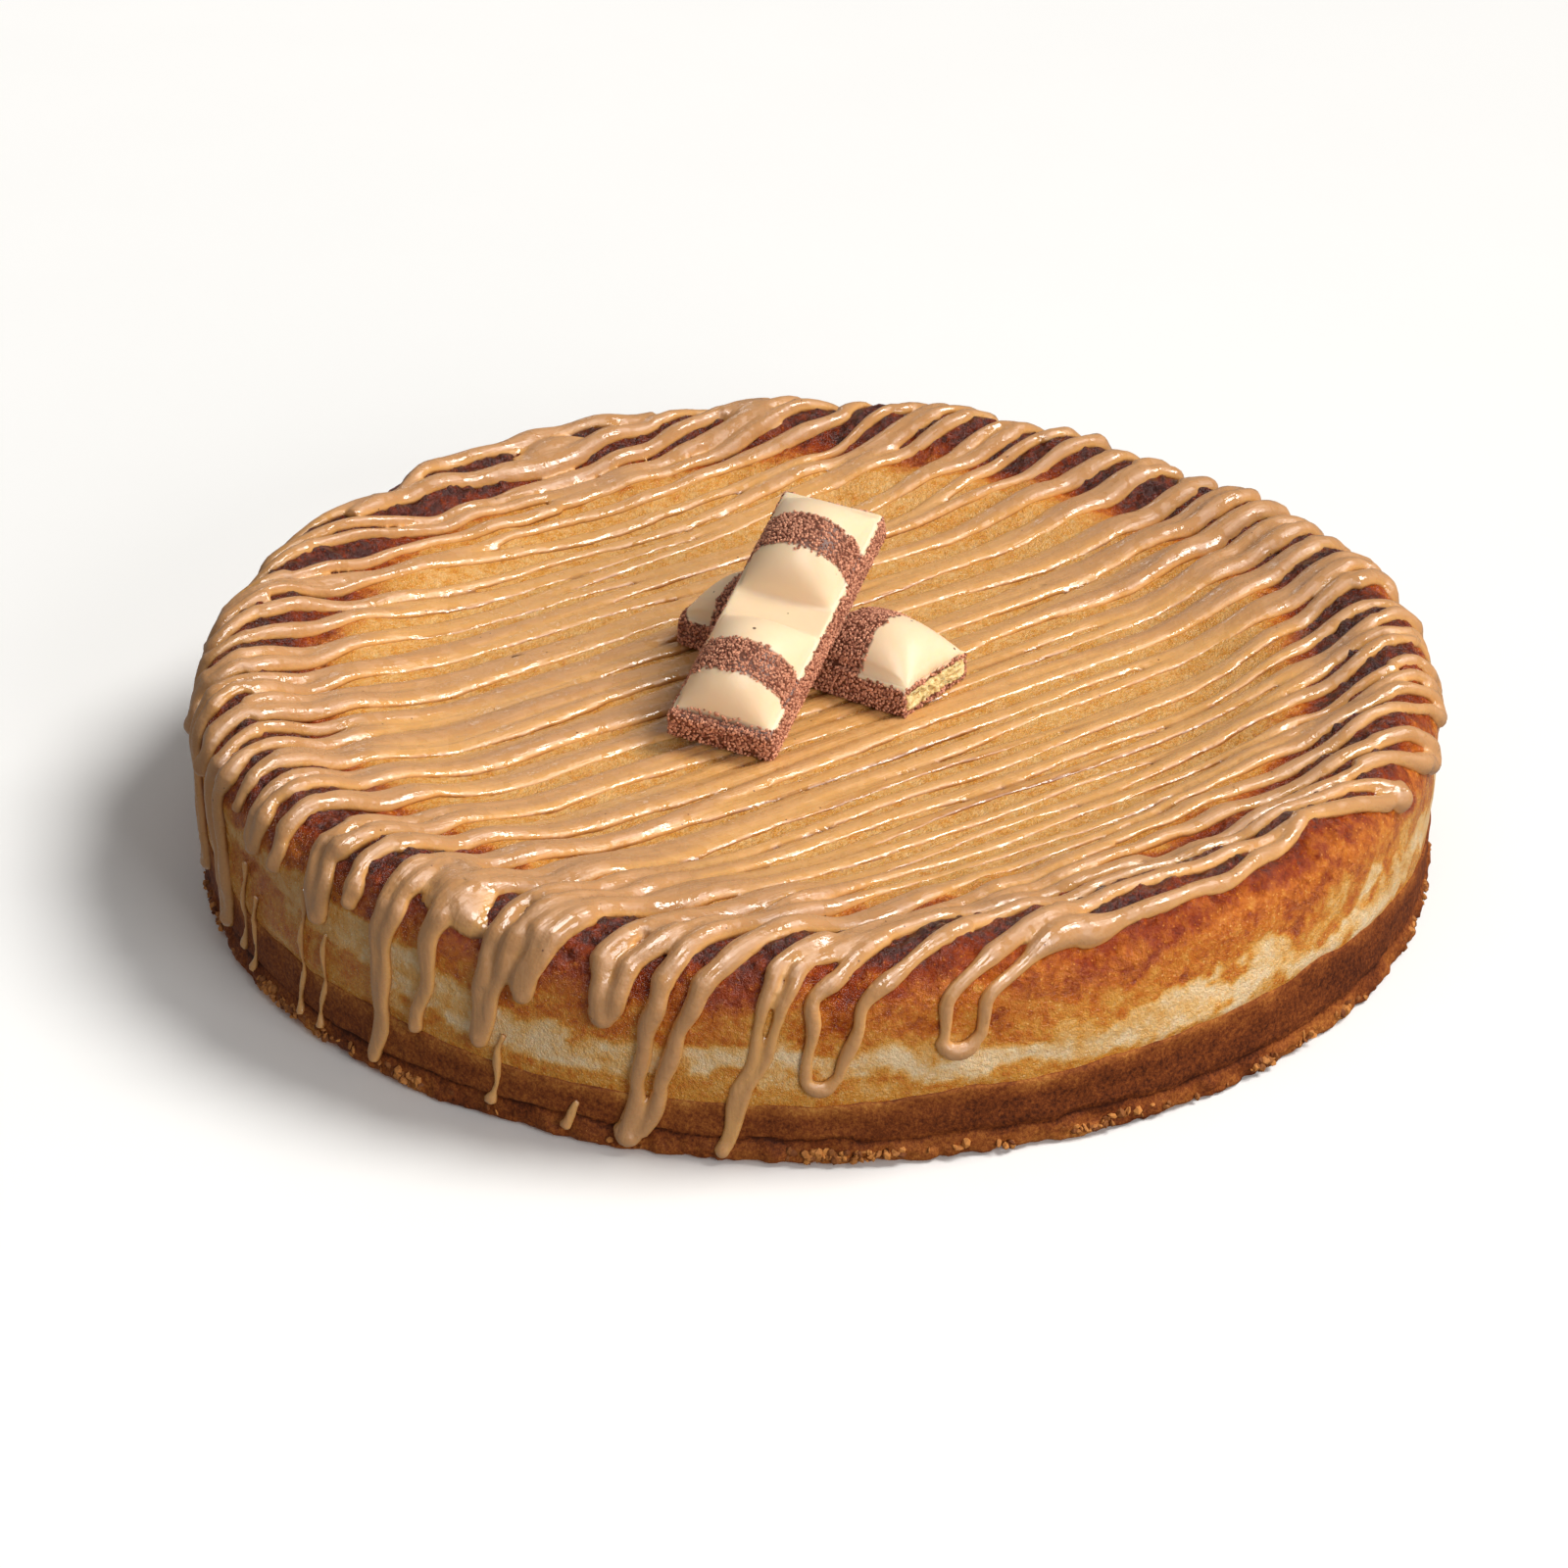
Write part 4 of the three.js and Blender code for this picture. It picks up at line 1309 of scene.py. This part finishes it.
def broken_face(outline):
    """Rings from the outline of the broken end in to the wafer, and back along the slot that it sits in."""
    away = outline[:, 1:] - (0, WAFER_MIDDLE)
    half_sizes = (BAR_WIDTH / 2 - WAFER_MARGIN + SLOT_GAP, WAFER_HEIGHT / 2 + SLOT_GAP)
    hole = away / np.max(np.abs(away) / half_sizes, axis=1)[:, None] + (0, WAFER_MIDDLE)
    face = []
    for share in np.linspace(0, 1, 6)[1:]:
        ring = np.column_stack((outline[:, 0], between(outline[:, 1:], hole, share)))
        ring[:, 0] += 0.5 * lumps(ring, 1.6, 61) - 0.2
        face.append(ring)
    back = face[-1].copy()
    back[:, 0] = WAFER_START - SLOT_GAP
    return face + [back]


def wafer_rings():
    """Rings of the wafer from its hidden end to its ragged broken face."""
    half_width = BAR_WIDTH / 2 - WAFER_MARGIN
    y = np.linspace(-half_width, half_width, 70)
    z = np.linspace(-WAFER_HEIGHT / 2, WAFER_HEIGHT / 2, 14)
    across = np.concatenate((y, np.full(12, half_width), y[::-1], np.full(12, -half_width)))
    upright = np.concatenate((np.full(70, z[0]), z[1:-1], np.full(70, z[-1]), z[1:-1][::-1]))
    section = np.column_stack((across, upright))

    def ring_at(along, share=0):
        """The wafer's outline at a place along it, drawn in to its middle by a share."""
        return np.column_stack((np.full(len(section), along), section * (1 - share) + (0, WAFER_MIDDLE)))

    end = LOWER_BAR_LENGTH / 2
    places = (WAFER_START, WAFER_START + 1, end - 2, end - 1, end - 0.5, end - 0.1)
    rings = [ring_at(along) for along in places]
    for share in np.linspace(0.02, 0.9, 12):
        ring = ring_at(end + 0.25, share)
        ring[:, 0] += layered_lumps(ring, WAFER_BREAK_LUMPS)
        rings.append(ring)
    return rings


def upper_bar_place():
    """Place of the upper bar, with its low corner on the dish."""
    pitch, roll = np.radians(UPPER_BAR_TURN[1:])
    end_drop = (UPPER_BAR_LENGTH / 2 - BAR_CORNER) * math.sin(pitch)
    side_drop = (BAR_WIDTH / 2 - BAR_CORNER / 2) * math.sin(roll) * math.cos(pitch)
    return (*UPPER_BAR_MIDDLE, BAR_REST + LAYER_GAP / 2 + end_drop + side_drop)


def coated_bar(name, node, rings, tip_height, length, bands, place, turn, slot_rings=0):
    """A bar's white coat and its grains, fewer on the underside and none on the rings of the slot."""
    ends = ((-length / 2, 0, TRAY_HEIGHT / 2), (rings[-1][0, 0], 0, tip_height))
    points, faces = ring_shape(rings, *ends)
    cover = bar_cover(points, length, bands)
    placed = turned(points, place, turn)
    coat = mesh_piece(name + "_coat", placed, faces, WHITE_COAT, {"cover": cover})
    belongs(coat, "white_coat", node)
    strewn = cover * np.where(points[:, 2] < 0.1, UNDERSIDE_COVER, 1)
    if slot_rings:
        strewn[-(slot_rings * len(rings[-1]) + 1):] = 0
    grains = strewn_grains(name + "_grains", placed, faces, strewn, COCOA, COCOA_GRAINS)
    belongs(grains, "cocoa", node)


def wafer_bars():
    coated_bar(
        "upper_bar", "bar_upper", bar_rings(UPPER_BAR_LENGTH, False), TRAY_HEIGHT / 2,
        UPPER_BAR_LENGTH, UPPER_BAR_BANDS, upper_bar_place(), UPPER_BAR_TURN,
    )
    rings = bar_rings(LOWER_BAR_LENGTH, True)
    rings += broken_face(rings[-1])
    coated_bar(
        "lower_bar", "bar_lower_coat", rings, WAFER_MIDDLE,
        LOWER_BAR_LENGTH, LOWER_BAR_BANDS, LOWER_BAR_PLACE, LOWER_BAR_TURN, SLOT_RINGS,
    )
    slab = wafer_rings()
    points, faces = ring_shape(slab, *((ring[0, 0], 0, WAFER_MIDDLE) for ring in (slab[0], slab[-1])))
    wafer = mesh_piece("lower_bar_wafer", turned(points, LOWER_BAR_PLACE, LOWER_BAR_TURN), faces, WAFER)
    belongs(wafer, "wafer", "bar_lower_wafer")


# The studio, in metres


def floor():
    half = 4.0
    gap = 0.0003
    mesh = bpy.data.meshes.new("floor")
    corners = [(-half, -half, 0), (half, -half, 0), (half, half, 0), (-half, half, 0)]
    mesh.from_pydata(corners, [], [(0, 1, 2, 3)])
    mesh.materials.append(floor_finish())
    plane = adjusted(add_object("floor", mesh), visible_diffuse=False, visible_glossy=False)
    plane.location.z = -gap


def aim(item, place, target):
    item.location = place
    item.rotation_euler = (Vector(target) - Vector(place)).to_track_quat("-Z", "Y").to_euler()


def add_light(name, kind, place, power, **settings):
    """A light that shines at the middle of the cake."""
    light = adjusted(bpy.data.lights.new(name, kind), energy=power, **settings)
    lamp = add_object(name, light)
    aim(lamp, place, (0, 0, 0.03))
    return lamp


def soft_light(name, place, width, height, power):
    return add_light(name, "AREA", place, power, shape="RECTANGLE", size=width, size_y=height)


def studio():
    scene = bpy.context.scene
    scene.world = bpy.data.worlds.new("studio")
    scene.world.use_nodes = True
    tree = scene.world.node_tree
    set_inputs(tree, tree.nodes["Background"], {"Color": (1, 0.985, 0.965, 1), "Strength": 0.25})
    add_light("key", "SUN", (0.77, 0.06, 0.94), 2.8, angle=math.radians(27), color=(1, 0.98, 0.95))
    gloss = soft_light("gloss", (-0.05, -0.35, 0.75), 0.35, 0.5, 6.0)
    gloss.visible_diffuse = False
    soft_light("back", (-0.25, 0.95, 0.6), 0.25, 0.15, 0.35)
    soft_light("front", (0.6, -0.95, 0.4), 0.5, 0.5, 6.0)
    adjusted(scene.view_settings, view_transform="Standard", look="None")


def camera():
    elevation = math.radians(29.05)
    distance = 0.947
    target = (-0.0069, 0.0049, 0.0088)
    lens = adjusted(bpy.data.cameras.new("camera"), lens=101.25, sensor_width=36, clip_end=50)
    holder = add_object("camera", lens)
    aim(holder, (0, -distance * math.cos(elevation), distance * math.sin(elevation)), target)
    bpy.context.scene.camera = holder


BAKED_SKIN = baked_skin_finish()
CREAM = cream_finish()
BISCUIT = biscuit_finish()
WHITE_COAT = white_coat_finish()
WAFER = wafer_finish()
COCOA = grain_finish("cocoa_grains", (134, 74, 54), (238, 172, 138), 0.6)
CRUMB = grain_finish("biscuit_crumbs", (112, 58, 24), (204, 134, 66), 0.7)
GRAINS = grain_tree()

cheesecake_body()
biscuit_base()
foot_crumbs()
caramel_cream()
wafer_bars()
floor()
studio()
camera()
